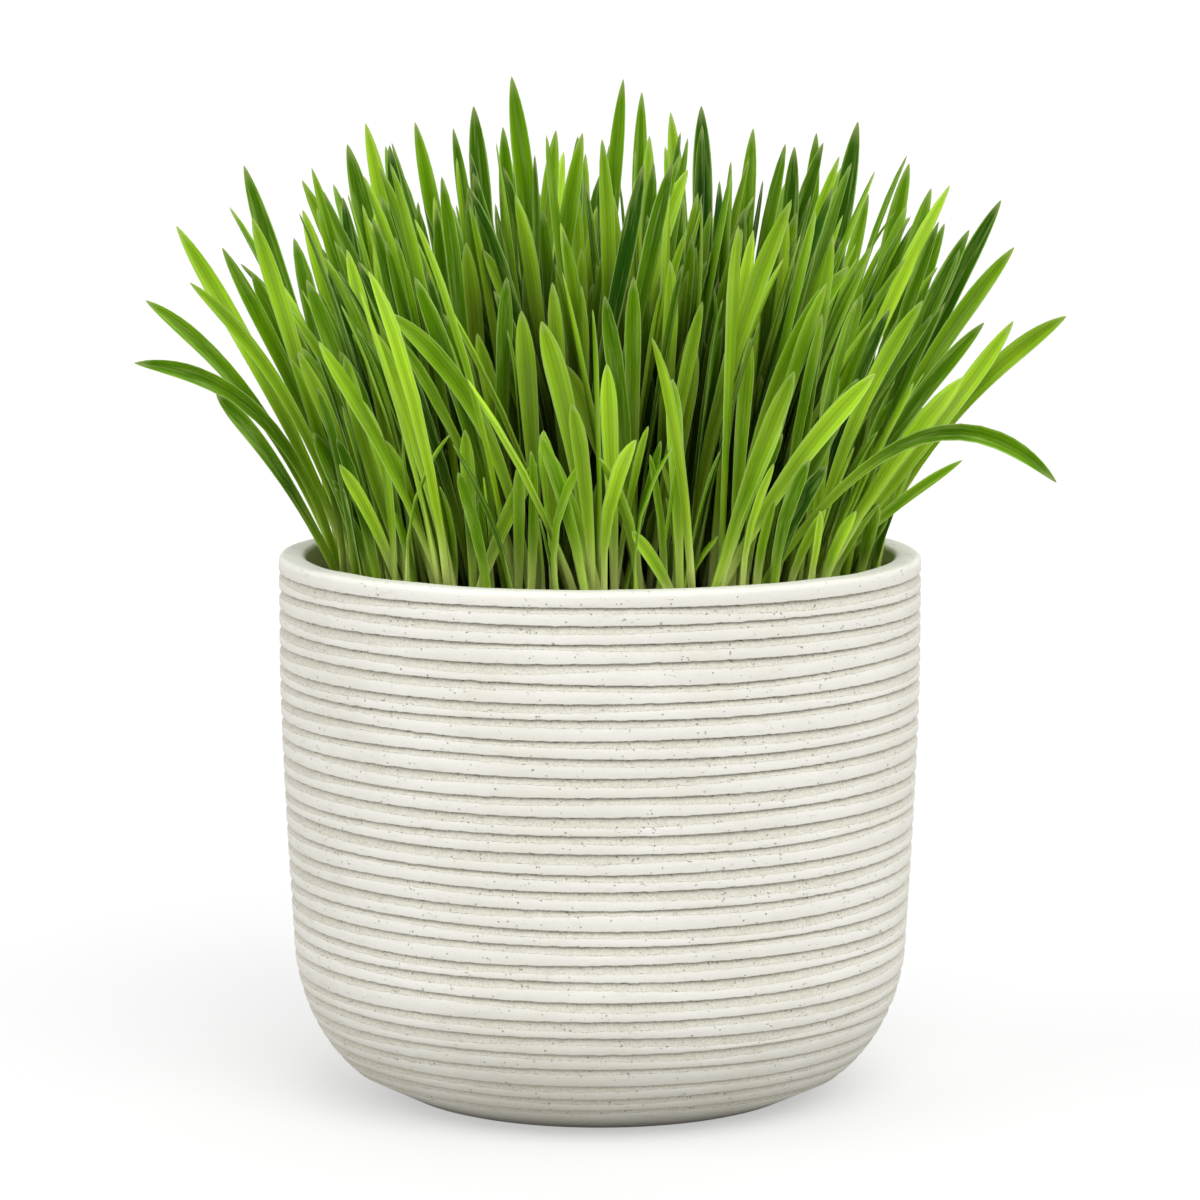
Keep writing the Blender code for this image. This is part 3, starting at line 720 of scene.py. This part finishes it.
def grain_surface(count, length, width, seed, lift):
    """Grains strewn on the mix, each a small closed spindle lying flat and turned at random.

    A grain's half-width is about a half sine along it, and its ring is an ellipse. All are worked out
    at once.
    """
    draw = np.random.default_rng(seed)
    reach = (POT_RADIUS - WALL - 4 * MM) * np.sqrt(draw.uniform(0, 1, count))
    place = polar(reach, draw.uniform(0, 2 * math.pi, count))
    turn = draw.uniform(0, 2 * math.pi, count)
    tilt = draw.normal(0, 0.25, count)
    size = draw.uniform(0.75, 1.25, (count, 1, 1))
    along, girth = np.array(GRAIN_PROFILE).T[:, :, None]
    ring = circle(GRAIN_SIDES)[:, None]
    axis = polar(np.cos(tilt), turn, np.sin(tilt))
    cross = np.stack([-np.sin(turn), np.cos(turn), np.zeros(count)], axis=1)
    up = np.cross(axis, cross)
    oval = cross[:, None] * np.cos(ring) * width / 2 + up[:, None] * np.sin(ring) * width * GRAIN_THICK
    body = axis[:, None, None] * along[:, None] * length + oval[:, None] * girth[:, None]
    ends = axis[:, None] * np.array([-0.5, 0.5])[:, None] * length
    shape = np.concatenate([body.reshape(count, -1, 3), ends], axis=1) * size
    ground = mix_height(place[:, 0], place[:, 1]) + lift
    points = shape + np.concatenate([place, ground[:, None]], axis=1)[:, None]
    each = shape.shape[1]
    quads, ends = tube_faces(len(along), GRAIN_SIDES, each - 2, each - 1, count, each)
    shade = np.repeat(draw.uniform(0, 1, count), each)
    return points.reshape(-1, 3), quads.tolist() + ends.tolist(), shade


def mix_finish(colours):
    """Moist potting mix: dark and lighter crumbs with pale fibres."""
    nodes = Nodes("moist_potting_mix")
    crumbs = nodes.noise(520, 6, 0.7)
    fibres = nodes.noise(300, 3, 0.5, stretch=(1, 5, 5))
    colour = nodes.mix(nodes.span(crumbs, 0.35, 0.68), colours.dark, colours.light)
    colour = nodes.mix(nodes.span(fibres, 0.66, 0.74, 0, 0.7), colour, colours.fibre)
    rough = nodes.bump(crumbs, 0.8 * MM, 0.9)
    return nodes.finish({"Base Color": colour, "Roughness": 0.92, "Normal": rough})


def seed_finish(colours):
    """Straw-coloured seed husks, a little lined."""
    nodes = Nodes("seed_husk")
    lines = nodes.noise(900, 2, 0.5)
    colour = nodes.mix(nodes.sense("shade"), colours.husk, colours.husk_dark)
    colour = nodes.mix(nodes.span(lines, 0.4, 0.7, 0, 0.4), colour, colours.light)
    lined = nodes.bump(lines, 0.2 * MM, 0.6)
    return nodes.finish({"Base Color": colour, "Roughness": 0.6, "Normal": lined})


class MixSettings(bpy.types.PropertyGroup):
    """Amounts and colours of the potting mix and what lies on it."""

    seeds: amount_setting("Seed Husks", "Husks on the surface", 420, 1, 3000)
    crumbs: amount_setting("Crumbs", "Loose crumbs on the surface", 900, 1, 3000)
    dark: colour_setting("Mix Dark", "Dark colour of the mix", (0.018, 0.012, 0.008))
    light: colour_setting("Mix Light", "Light colour of the mix", (0.085, 0.055, 0.034))
    fibre: colour_setting("Fibre", "Colour of the fibres in the mix", (0.26, 0.17, 0.09))
    husk: colour_setting("Husk", "Colour of fresh husks", (0.36, 0.24, 0.11))
    husk_dark: colour_setting("Husk Dark", "Colour of wet husks", (0.14, 0.08, 0.035))


class CATGRASS_OT_mix(bpy.types.Operator):
    """Fill the planter with potting mix, crumbs and seed husks"""

    bl_idname = "catgrass.mix"
    bl_label = "Potting Mix"

    def execute(self, context):
        sizes = context.scene.catgrass_mix
        finish = mix_finish(sizes)
        points, faces = mix_surface()
        new_piece("potting_mix_surface", points, faces, finish, (), ["potting_mix"])
        points, faces, _ = grain_surface(sizes.crumbs, *CRUMB)
        new_piece("crumbs", points, faces, finish)
        points, faces, shade = grain_surface(sizes.seeds, *HUSK)
        new_piece("seed_husks", points, faces, seed_finish(sizes), [("shade", shade)])
        return {"FINISHED"}


# Grass


def curve_points(curve, t):
    """Points of the quadratic curve from root over bend to tip."""
    root, bend, tip = curve
    return (1 - t) ** 2 * root + 2 * t * (1 - t) * bend + t**2 * tip


def curve_directions(curve, t):
    """Directions along the same curve, from the curve's slope."""
    root, bend, tip = curve
    return unit((1 - t) * (bend - root) + t * (tip - bend))


def blade_sides(way, turn):
    """Directions across a blade and square to its face, which looks at the angle turn in plan."""
    across = unit(np.cross(way, polar(1.0, turn, np.zeros_like(turn))))
    return across, np.cross(across, way)


class Blade:
    """One leaf blade: a quadratic curve from root over bend to tip, and how it is turned and how wide."""

    def __init__(self, root, bend, tip, width, facing, twist, thickness=BLADE_THICKNESS):
        self.curve = np.array([root, bend, tip], float)
        self.width = width
        self.facing = facing
        self.twist = twist
        self.thickness = thickness

    def point(self, t):
        return curve_points(self.curve, np.asarray(t)[:, None])

    def direction(self, t):
        return curve_directions(self.curve, np.asarray(t)[:, None])

    def bent(self):
        start, end = self.direction((0.0, 1.0))
        return math.acos(np.clip(start @ end, -1, 1)) > BENT_FROM

    def stations(self):
        return np.array(STATIONS_BENT if self.bent() else STATIONS_STRAIGHT)

    def half_widths(self, t, rounding=TIP_ROUND):
        opening = ease((t - STEM_END) / (WIDEST - STEM_END))
        closing = (1 - np.clip((t - WIDEST) / (1 - WIDEST), 0, 1) ** TIP_POWER) ** rounding
        return 0.5 * (STEM_WIDTH + (self.width - STEM_WIDTH) * opening) * closing

    def thicknesses(self, t):
        opening = np.clip(t / STATIONS_STRAIGHT[1], 0, 1)
        return STEM_THICKNESS + (self.thickness - STEM_THICKNESS) * opening

    def inside_rim(self, clearance):
        """Whether the blade stays inside the planter's mouth until it is above the rim."""
        t = np.linspace(0, 1, RIM_SAMPLES)
        points = self.point(t)
        reach = np.hypot(points[:, 0], points[:, 1]) + self.half_widths(t)
        low = points[:, 2] < POT_HEIGHT + clearance
        return (reach[low] < POT_RADIUS - WALL - clearance).all()

    def solid(self, grow=0.0):
        """Points and triangles of the closed blade, with every side moved out by grow.

        Every ring has the blade's two edges and its keel, and the tip is one point.
        """
        t = self.stations()[:-1]
        centre = self.point(t)
        across, normal = blade_sides(self.direction(t), self.facing + self.twist * t)
        half = (self.half_widths(t) + grow)[:, None] * across
        thick = (self.thicknesses(t) + 2 * grow)[:, None] * normal
        inner_face = centre + (1 - KEEL_SHARE) * thick
        rings = np.stack([inner_face - half, centre - KEEL_SHARE * thick, inner_face + half], axis=1)
        tip = self.point((1.0,)) + grow * self.direction((1.0,))
        points = np.concatenate([rings.reshape(-1, 3), tip])
        last = 3 * (len(rings) - 1)
        faces = [(2, 1, 0)]
        for a in range(last):
            b = a + 1 if a % 3 < 2 else a - 2
            faces += [(a, b, b + 3), (a, b + 3, a + 3)]
        faces += [(last, last + 1, last + 3), (last + 1, last + 2, last + 3), (last + 2, last, last + 3)]
        return points, faces


class Thicket:
    """What a new blade has to stay clear of: the rim and every blade that already stands."""

    def __init__(self, rim_clearance):
        self.rim_clearance = rim_clearance
        self.boxes = np.empty((0, 6))
        self.trees = []

    def shape(self, blade, grow=0.0):
        """Box and search tree, which is in millimetres, where the overlap test is well above rounding."""
        points, faces = blade.solid(grow)
        box = np.concatenate([points.min(axis=0), points.max(axis=0)])
        return box, BVHTree.FromPolygons([tuple(p) for p in points / MM], faces)

    def clear(self, blade):
        if not blade.inside_rim(self.rim_clearance):
            return False
        box, tree = self.shape(blade, CLEARANCE)
        near = (self.boxes[:, :3] < box[3:]).all(axis=1) & (self.boxes[:, 3:] > box[:3]).all(axis=1)
        return not any(tree.overlap(self.trees[number]) for number in np.nonzero(near)[0])

    def add(self, blade):
        box, tree = self.shape(blade)
        self.boxes = np.vstack([self.boxes, box])
        self.trees.append(tree)

    def plant(self, candidates):
        """Adds the first candidate that stands clear and gives it with its place, or nothing."""
        for place, blade in candidates:
            if self.clear(blade):
                self.add(blade)
                return [(place, blade)]
        return []


class Seats:
    """The places in the root plugs where stems start, each taken by one blade."""

    def __init__(self, places):
        ring = polar(SEAT_RING, np.arange(SEATS) * 2 * math.pi / SEATS)
        pattern = np.vstack([ring, [[0, 0]]])
        self.points = (places[:, None] + pattern).reshape(-1, 2)
        self.clumps = np.repeat(np.arange(len(places)), len(pattern))
        self.free = np.ones(len(self.points), bool)

    def nearest(self, wish, clump=None):
        """Free seats, the nearest to the wished point first, of one clump or of all."""
        usable = self.free if clump is None else self.free & (self.clumps == clump)
        numbers = np.nonzero(usable)[0]
        return numbers[np.argsort(np.linalg.norm(self.points[numbers] - wish, axis=1))]

    def taken(self, clump):
        return np.count_nonzero(~self.free[self.clumps == clump])

    def root(self, number):
        return np.array([*self.points[number], MIX_TOP + PLUG_RISE - ROOT_SINK])


def outstanding_blades(row, seats):
    """The blade of one row, then the same blade moved in depth and turned until it stands clear."""
    tip, root, width, *bend = row
    for shift in SHIFTS:
        end = (np.array(tip) + (0, shift, 0)) * MM
        for seat in seats.nearest(np.array(root) * MM)[:SEATS_TRIED]:
            start = seats.root(seat)
            knee = start + (end - start) * (EARLY, EARLY_DEPTH, RISE)
            for across, up in bend:
                knee = np.array([across * MM, knee[1], up * MM])
            for turn in TURNS_TRIED:
                facing = CAMERA_SIDE + math.radians(turn)
                yield seat, Blade(start, knee, end, width * MM, facing, math.radians(-turn))


class Habit(NamedTuple):
    """How blades drawn at random grow: taller in the middle, shorter and leaning at the edge.

    Lengths are in millimetres and angles in degrees where nothing else is said.
    """

    stray: tuple  # radians that a blade turns out of its way: everywhere, and more in the middle
    lean: tuple  # at the edge, and how much it varies
    middle: tuple  # shortest and longest
    edge: tuple  # shortest and longest
    sway: float  # how far the bend point lies to the side
    widths: tuple  # mean, standard deviation, least and most
    unit: float  # of the widths
    twist: float  # in radians
    thickness: float  # in metres

    def lean_and_length(self, draw, way, spread, backward):
        """Direction in plan, lean and length of a blade that grows at way, spread from the middle."""
        out = way + draw.normal(0, self.stray[0] + self.stray[1] * (1 - spread) ** 2)
        steady = (self.lean[0] + MORE_LEAN * max(0.0, backward)) * spread**LEAN_POWER
        lean = math.radians(steady + abs(draw.normal(0, self.lean[1])))
        length = draw.uniform(*(self.middle if spread < EDGE_FROM else self.edge)) * MM
        return np.array([math.cos(out), math.sin(out), 0]), lean, length

    def blade(self, draw, root, flat, lean, length, early=EARLY, slim=1):
        """A blade that leans in the direction flat, with the share early of its lean at its bend."""
        mean, deviation, least, most = self.widths
        tip = root + length * (math.sin(lean) * flat + np.array([0, 0, math.cos(lean)]))
        side = np.array([-flat[1], flat[0], 0]) * draw.normal(0, self.sway) * MM
        bend = root + (tip - root) * (early, early, RISE) + side
        width = np.clip(draw.normal(mean, deviation), least, most) * slim * self.unit
        facing = draw.uniform(0, 2 * math.pi)
        return Blade(root, bend, tip, width, facing, draw.normal(0, self.twist), self.thickness)


# The CAD's blades and the further ones
CAD_WIDTHS = (4 * MM, 0.5 * MM, 3 * MM, 5 * MM)
CAD_HABIT = Habit(
    (0.35, 1.6), (18, 5.5), (76, 110), (52, 100), 2.5, CAD_WIDTHS, 1, 0.5, BLADE_THICKNESS
)
FURTHER_HABIT = Habit(
    (0.55, 1.5), (15, 9), (62, 112), (40, 100), 3.5, (3.6, 0.55, 2.4, 4.6), MM, 0.6, SLIM
)


def drawn_blades(clump, place, seats, draw):
    """Candidates for a blade of one clump of the CAD."""
    spread = np.linalg.norm(place) / CLUMP_SPREAD
    way = math.atan2(place[1], place[0])
    for _ in range(TRIES):
        shape = CAD_HABIT.lean_and_length(draw, way, spread, place[1] / CLUMP_SPREAD)
        seat = seats.nearest(place + SEAT_RING * shape[0][:2], clump)[0]
        yield seat, CAD_HABIT.blade(draw, seats.root(seat), *shape)


def grow_blades(places):
    """The CAD's blades as (clump, blade): the outstanding ones, then drawn ones in the room left."""
    thicket = Thicket(RIM_CLEARANCE)
    seats = Seats(places)
    blades = []

    def plant(candidates):
        for seat, blade in thicket.plant(candidates):
            seats.free[seat] = False
            blades.append((seats.clumps[seat], blade))

    for row in OUTSTANDING:
        plant(outstanding_blades(row, seats))
    draw = np.random.default_rng(SEED)
    for turn in range(BLADES_PER_CLUMP):
        for clump, place in enumerate(places):
            if seats.taken(clump) <= turn:
                plant(drawn_blades(clump, place, seats, draw))
    return blades


def further_blades(number, wanted, places, draw):
    """Candidates for the further blade of this number among the wanted ones, with their clumps.

    Roots cover the mix, a little closer together towards the rim. Blades lean out more towards the edge,
    where they rise steeply at first, and their tips lie anywhere from a little above the rim to the dome
    over the grass. Short young shoots stand between them.
    """
    dome = np.array(DOME).T
    shoot = number % SHOOT_EVERY == 0
    for _ in range(FILL_TRIES):
        spread = ((number + draw.uniform()) / wanted) ** FILL_CROWDING
        way = number * GOLDEN_ANGLE + draw.normal(0, FILL_SCATTER)
        root = FILL_REACH * spread * np.array([math.cos(way), math.sin(way)])
        flat, lean, length = FURTHER_HABIT.lean_and_length(draw, way, spread, math.sin(way) * spread)
        if shoot:
            length = draw.uniform(*SHOOT_LENGTHS) * MM
        start = np.array([*root, MIX_TOP])
        early = EARLY - EARLY_LESS * spread**4
        slim = SHOOT_SLIM if shoot else 1
        blade = FURTHER_HABIT.blade(draw, start, flat, lean, length, early, slim)
        _, bend, tip = blade.curve
        if math.hypot(tip[0] - DOME_SHIFT, tip[1]) > np.interp(tip[2] / MM, *dome) * MM:
            continue
        if tip[2] > FRONT_HEIGHT and bend[1] < FRONT_ROW:
            continue
        yield np.argmin(np.linalg.norm(places - root, axis=1)), blade


def blade_surfaces(blades, shades, detail):
    """Blades of one clump as fine closed surfaces, worked out together.

    A blade is a ring of points carried along its curve. At the root the ring is round, as the stem is.
    Further up it opens into a thin lens, which is folded in a shallow V along the midrib, and whose width
    grows and then closes to a point. Each blade turns about its curve from its facing by its twist.
    """
    low_rings, tip_rings, sides = detail
    curves = np.swapaxes([blade.curve for blade in blades], 0, 1)[:, :, None]
    rounding = np.sin(np.arange(1, tip_rings) * math.pi / 2 / tip_rings)
    t = np.append(np.linspace(0, WIDEST, low_rings), WIDEST + (1 - WIDEST) * rounding)[:, None]
    centre = curve_points(curves, t)
    facing, twist = np.array([(blade.facing, blade.twist) for blade in blades]).T[:, :, None]
    across, normal = blade_sides(curve_directions(curves, t), facing + twist * t[:, 0])
    half = np.array([blade.half_widths(t[:, 0], FINE_TIP) for blade in blades])[:, :, None, None]
    flatness = ease((t - FLAT_FROM) / FLAT_OVER)[:, :, None]
    thick = np.minimum(FINE_STEM + (LAMINA - FINE_STEM) * flatness, THICKEST * half)
    ring = np.arange(sides) * 2 * math.pi / sides
    u, w = np.cos(ring)[:, None], np.sin(ring)[:, None]
    fold = FOLD * flatness * half * (np.sqrt(u**2 + FOLD_ROUND) - 0.5)
    points = centre[:, :, None] + half * u * across[:, :, None]
    points = points + (0.5 * thick * w + fold) * normal[:, :, None]
    count = len(blades)
    caps = centre[:, :1] - np.array([0, 0, CAP_DEPTH])
    points = np.concatenate([points.reshape(count, -1, 3), curves[2], caps], axis=1)
    each = points.shape[1]
    faces = [part[:, ::-1] for part in tube_faces(len(t), sides, each - 1, each - 2, count, each)]
    along = np.concatenate([np.repeat(t, sides), [1.0, 0.0]])
    over = np.concatenate([np.tile(np.cos(ring), len(t)), [0.0, 0.0]])
    values = np.stack([np.tile(along, count), np.tile(over, count), np.repeat(shades, each)])
    return points.reshape(-1, 3), faces, values


def clump_surface(blades, shades, close):
    """The blades of one clump as one mesh, those with close set in more detail than the others."""
    points, faces, values, total = [], [], [], 0
    for chosen, detail in ((close, CLOSE), (~close, PLAIN)):
        if not chosen.any():
            continue
        own = [blades[number] for number in np.nonzero(chosen)[0]]
        own_points, own_faces, own_values = blade_surfaces(own, shades[chosen], detail)
        points.append(own_points)
        values.append(own_values)
        for polygons in own_faces:
            faces += (polygons + total).tolist()
        total += len(own_points)
    return np.vstack(points), faces, zip(("along", "over", "shade"), np.hstack(values))


def grass_finish(colours):
    """Leaf blades: pale stems, finely veined green blades with pale tips and streaks of waxy bloom, and
    painted light and shade: sheen in the streaks, highlights along the thin edges, shade in the midrib's
    fold, low down the blades and deep inside the grass.

    Light also passes through the blade, which brightens the ones that are lit from behind.
    """
    nodes = Nodes("grass_blade")
    along, over, shade = nodes.sense("along"), nodes.sense("over"), nodes.sense("shade")
    patches = nodes.noise(60, 2, 0.5, stretch=(1, 1, 0.35))
    mood = nodes.math("ADD", shade, nodes.span(patches, 0.3, 0.7, -0.16, 0.16, smooth=False), clamp=True)
    leaf = nodes.ramp(mood, ((0.0, colours.deep), (0.45, colours.leaf), (1.0, colours.bright)))
    young = nodes.mix(nodes.span(mood, 0.0, 0.6, 0.55, 0.0), colours.young, leaf)
    leaf = nodes.mix(nodes.span(along, 0.15, 0.5, 1.0, 0.0), leaf, young)
    veins = nodes.math("SINE", nodes.times(over, 15.0))
    leaf = nodes.mix(nodes.span(veins, -1.0, 1.0, 0.0, 0.5), leaf, colours.vein, blend="MULTIPLY")
    # Streaks of waxy bloom along a blade, which also serve as painted sheen.
    across, up = nodes.times(over, 2.2), nodes.times(along, 5.0)
    grid = nodes.add("CombineXYZ", {"X": across, "Y": up, "Z": nodes.times(shade, 60.0)})
    streaks = nodes.noise(1.0, 3, 0.6, vector=grid.outputs["Vector"])
    leaf = nodes.mix(nodes.span(streaks, 0.46, 0.7, 0.0, 0.4), leaf, colours.bloom_and_sheen)
    reach = nodes.math("ABSOLUTE", over)
    # Painted shade and light: darker in the fold along the midrib and lighter towards the edges, darker
    # low down and lighter higher up a blade.
    crease_shade = nodes.span(reach, 0.05, 0.8, 0.78, 1.12)
    rise = nodes.span(along, 0.3, 0.88, 0.9, 1.16, smooth=False)
    leaf = nodes.mix(1.0, leaf, nodes.times(crease_shade, rise), blend="MULTIPLY")
    # Painted highlight along a blade's thin edges, where light shines through them.
    leaf = nodes.mix(nodes.span(reach, 0.8, 1.0, 0.0, 0.75), leaf, colours.edge)
    height = nodes.add("SeparateXYZ", {"Vector": nodes.place()}).outputs["Z"]
    flat = nodes.add("Mapping", {"Vector": nodes.place(), "Scale": (1, 1, 0)}).outputs["Vector"]
    radius = nodes.add("VectorMath", {0: flat}, operation="LENGTH").outputs["Value"]
    # Pale stems near the mix are their own colour. They stay pale on brighter blades and green on darker
    # ones, which paints light on the lit front stems and shade between the inner ones.
    low = nodes.span(height, MIX_TOP + 4 * MM, MIX_TOP + 30 * MM, 1.0, 0.0)
    stemlike = nodes.times(low, nodes.span(along, 0.25, 0.6, 1.0, 0.0))
    pale = nodes.times(stemlike, nodes.span(mood, 0.25, 0.9, 0.06, 1.0))
    leaf = nodes.mix(pale, leaf, colours.stem)
    leaf = nodes.mix(nodes.span(along, 0.94, 1.0, 0.0, 0.4), leaf, colours.tip)
    # Painted shade: blades darker deep inside the grass and low down, where little light reaches them.
    inner = nodes.span(radius, 36 * MM, 64 * MM, 1.0, 0.0)
    under = nodes.span(height, 155 * MM, 222 * MM, 1.0, 0.0)
    painted_inner_shade = nodes.math("SUBTRACT", 1.0, nodes.times(nodes.times(inner, under), 0.84))
    leaf = nodes.mix(1.0, leaf, painted_inner_shade, blend="MULTIPLY")
    ridges = nodes.bump(veins, 0.06 * MM, 0.5)
    material = nodes.finish(
        {"Base Color": leaf, "Roughness": 0.36, "Specular IOR Level": 0.09, "Normal": ridges}
    )
    through = nodes.mix(1.0, leaf, colours.through, blend="MULTIPLY")
    glow = nodes.add("BsdfTranslucent", {"Color": through})
    both = nodes.add("MixShader", {"Fac": 0.17, 1: nodes.shader.outputs["BSDF"], 2: glow.outputs["BSDF"]})
    nodes.feed(nodes.tree.nodes["Material Output"].inputs["Surface"], both.outputs["Shader"])
    return material


class GrassSettings(bpy.types.PropertyGroup):
    """Amounts and colours of the grass."""

    further: amount_setting("Further Blades", "Blades tried in the room between the CAD's", 820, 0, 2000)
    deep: colour_setting("Deep", "Colour of the darkest blades", (0.02, 0.088, 0.001))
    leaf: colour_setting("Leaf", "Colour of most blades", (0.13, 0.3, 0.001))
    bright: colour_setting("Bright", "Colour of the brightest blades", (0.43, 0.7, 0.03))
    young: colour_setting("Young", "Colour of the lower part of dark blades", (0.41, 0.69, 0.01))
    vein: FloatVectorProperty(
        name="Vein", description="Factors that lighten a blade along its veins",
        default=(1.3, 1.28, 1.2), min=0, max=3, size=3,
    )
    # Waxy bloom, which also serves as painted sheen.
    bloom_and_sheen: colour_setting("Bloom", "Colour of the waxy bloom in streaks on a blade", (0.38, 0.54, 0.12))
    # Painted highlight along a blade's thin edges.
    edge: colour_setting("Edge", "Colour of a blade's thin edges", (0.54, 0.72, 0.22))
    stem: colour_setting("Stem", "Colour of the stems", (0.8, 0.88, 0.3))
    tip: colour_setting("Tip", "Colour of the very tips", (0.62, 0.72, 0.28))
    through: colour_setting("Through", "Tint of the light that passes through a blade", (1, 1, 0.4))


class CATGRASS_OT_grass(bpy.types.Operator):
    """Grow the grass, one piece for each clump"""

    bl_idname = "catgrass.grass"
    bl_label = "Grass"

    def execute(self, context):
        sizes = context.scene.catgrass_grass
        finish = grass_finish(sizes)
        places = clump_places()
        blades = grow_blades(places)
        thicket = Thicket(FILL_RIM_CLEARANCE)
        for _, blade in blades:
            blade.thickness = SLIM
            thicket.add(blade)
        draw = np.random.default_rng(FILL_SEED)
        for number in range(sizes.further):
            blades += thicket.plant(further_blades(number, sizes.further, places, draw))
        draw = np.random.default_rng(SHADE_SEED)
        # Painted shade towards the back and painted light on the blades across the front.
        depths = np.array([blade.curve[1][1] for _, blade in blades]) / CLUMP_SPREAD
        shades = np.clip(draw.normal(*SHADES, len(blades)) - BACK_PAINTED_SHADE * depths, 0, 1)
        front = slice(FRONT_FROM, len(OUTSTANDING))
        shades[front] = draw.uniform(*FRONT_PAINTED_LIGHT, len(shades[front]))
        homes = np.array([home for home, _ in blades])
        close = np.arange(len(blades)) < len(OUTSTANDING)
        for clump in range(CLUMP_COUNT):
            own = np.nonzero(homes == clump)[0]
            kept = [blades[number][1] for number in own]
            points, faces, values = clump_surface(kept, shades[own], close[own])
            label = f"{clump + 1:02d}"
            node = "clump_" + label
            new_piece("grass_" + label, points, faces, finish, values, [node], BLADE_EDGE)
        return {"FINISHED"}


# Stage


class StudioSettings(bpy.types.PropertyGroup):
    """Light and floor of the studio."""

    key: strength_setting("Key", "Strength of the broad light above and in front", 2.1)
    left: strength_setting("Left", "Strength of the low light on the left", 1.2)
    right: strength_setting("Right", "Strength of the low light on the right", 0.7)
    back: strength_setting("Back", "Strength of the light behind", 0.6)
    fill: strength_setting("Fill", "Strength of the light from all round", 0.5)
    backdrop: strength_setting("Backdrop", "Brightness behind the object", 1.05)
    floor: colour_setting("Floor", "Colour of the floor", (0.4, 0.4, 0.4))
    floor_glow: strength_setting("Floor Glow", "Brightness that the floor shows of itself", 0.47)
    floor_bounce: colour_setting("Floor Bounce", "Colour that the object sees", (0.44, 0.43, 0.4))


def broad_light(name, azimuth, elevation, spread, strength):
    """A distant light from the given direction, in degrees, seen over the given spread."""
    lamp = bpy.data.lights.new(name, "SUN")
    lamp.energy = strength
    lamp.angle = math.radians(spread)
    light = bpy.data.objects.new(name, lamp)
    light.rotation_euler = (math.radians(90 - elevation), 0, math.radians(azimuth))
    bpy.context.scene.collection.objects.link(light)


def white_surround(settings):
    """A world that lights with the fill's strength and shows the backdrop's brightness."""
    nodes = Nodes("surround", "worlds", "Background")
    seen = nodes.add("LightPath").outputs["Is Camera Ray"]
    strength = nodes.span(seen, 0, 1, settings.fill, settings.backdrop, smooth=False)
    bpy.context.scene.world = nodes.finish({"Color": (1, 1, 1, 1), "Strength": strength})


class CATGRASS_OT_studio(bpy.types.Operator):
    """Set up the pale floor, the soft lights and the camera"""

    bl_idname = "catgrass.studio"
    bl_label = "Studio"

    def execute(self, context):
        settings = context.scene.catgrass_studio
        scene = context.scene
        points = polar(FLOOR_RADIUS, circle(FLOOR_SIDES), np.zeros(FLOOR_SIDES))
        mesh = bpy.data.meshes.new("floor")
        mesh.from_pydata(points.tolist(), [], [list(range(FLOOR_SIDES))])
        nodes = Nodes("floor_white")
        seen = nodes.add("LightPath").outputs["Is Camera Ray"]
        material = nodes.finish({
            "Base Color": nodes.mix(seen, settings.floor_bounce, settings.floor),
            "Emission Color": (1, 1, 1, 1),
            "Emission Strength": nodes.times(seen, settings.floor_glow),
            "Roughness": 0.9,
            "Specular IOR Level": 0.1,
        })
        mesh.materials.append(material)
        floor = bpy.data.objects.new("floor", mesh)
        scene.collection.objects.link(floor)
        floor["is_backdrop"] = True
        for name, azimuth, elevation, spread in LAMPS:
            broad_light(name, azimuth, elevation, spread, getattr(settings, name))
        white_surround(settings)
        lens = bpy.data.cameras.new("camera")
        lens.sensor_width = SENSOR
        lens.lens = FOCAL_PIXELS * SENSOR / FRAME_PIXELS
        lens.clip_end = 100
        camera = bpy.data.objects.new("camera", lens)
        camera.location = (0, -CAMERA_DISTANCE, CAMERA_HEIGHT)
        camera.rotation_euler = (math.pi / 2 - CAMERA_PITCH, 0, 0)
        scene.collection.objects.link(camera)
        scene.camera = camera
        scene.view_settings.view_transform = "Standard"
        return {"FINISHED"}


class CATGRASS_PT_panel(bpy.types.Panel):
    """Lists the settings and the steps that make the object"""

    bl_label = "Cat Grass"
    bl_idname = "CATGRASS_PT_panel"
    bl_space_type = "VIEW_3D"
    bl_region_type = "UI"
    bl_category = "Cat Grass"

    def draw(self, context):
        for group, _, operator in STEPS:
            box = self.layout.box()
            box.label(text=operator.bl_label)
            settings = getattr(context.scene, group)
            for name in settings.bl_rna.properties.keys():
                if name not in ("rna_type", "name"):
                    box.prop(settings, name)
            box.operator(operator.bl_idname)


STEPS = (
    ("catgrass_planter", PlanterSettings, CATGRASS_OT_planter),
    ("catgrass_mix", MixSettings, CATGRASS_OT_mix),
    ("catgrass_grass", GrassSettings, CATGRASS_OT_grass),
    ("catgrass_studio", StudioSettings, CATGRASS_OT_studio),
)
CLASSES = (
    *(settings for _, settings, _ in STEPS),
    *(operator for _, _, operator in STEPS),
    CATGRASS_PT_panel,
)


def register():
    for cls in CLASSES:
        bpy.utils.register_class(cls)
    for group, settings, _ in STEPS:
        setattr(bpy.types.Scene, group, PointerProperty(type=settings))


def unregister():
    for group, _, _ in STEPS:
        delattr(bpy.types.Scene, group)
    for cls in reversed(CLASSES):
        bpy.utils.unregister_class(cls)


def main():
    register()
    bpy.ops.catgrass.planter()
    bpy.ops.catgrass.mix()
    bpy.ops.catgrass.grass()
    bpy.ops.catgrass.studio()
    sizes = {"cad": CAD_BOX, "visual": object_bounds()}
    plain = {key: [[float(v) for v in corner] for corner in box] for key, box in sizes.items()}


if __name__ == "__main__":
    main()
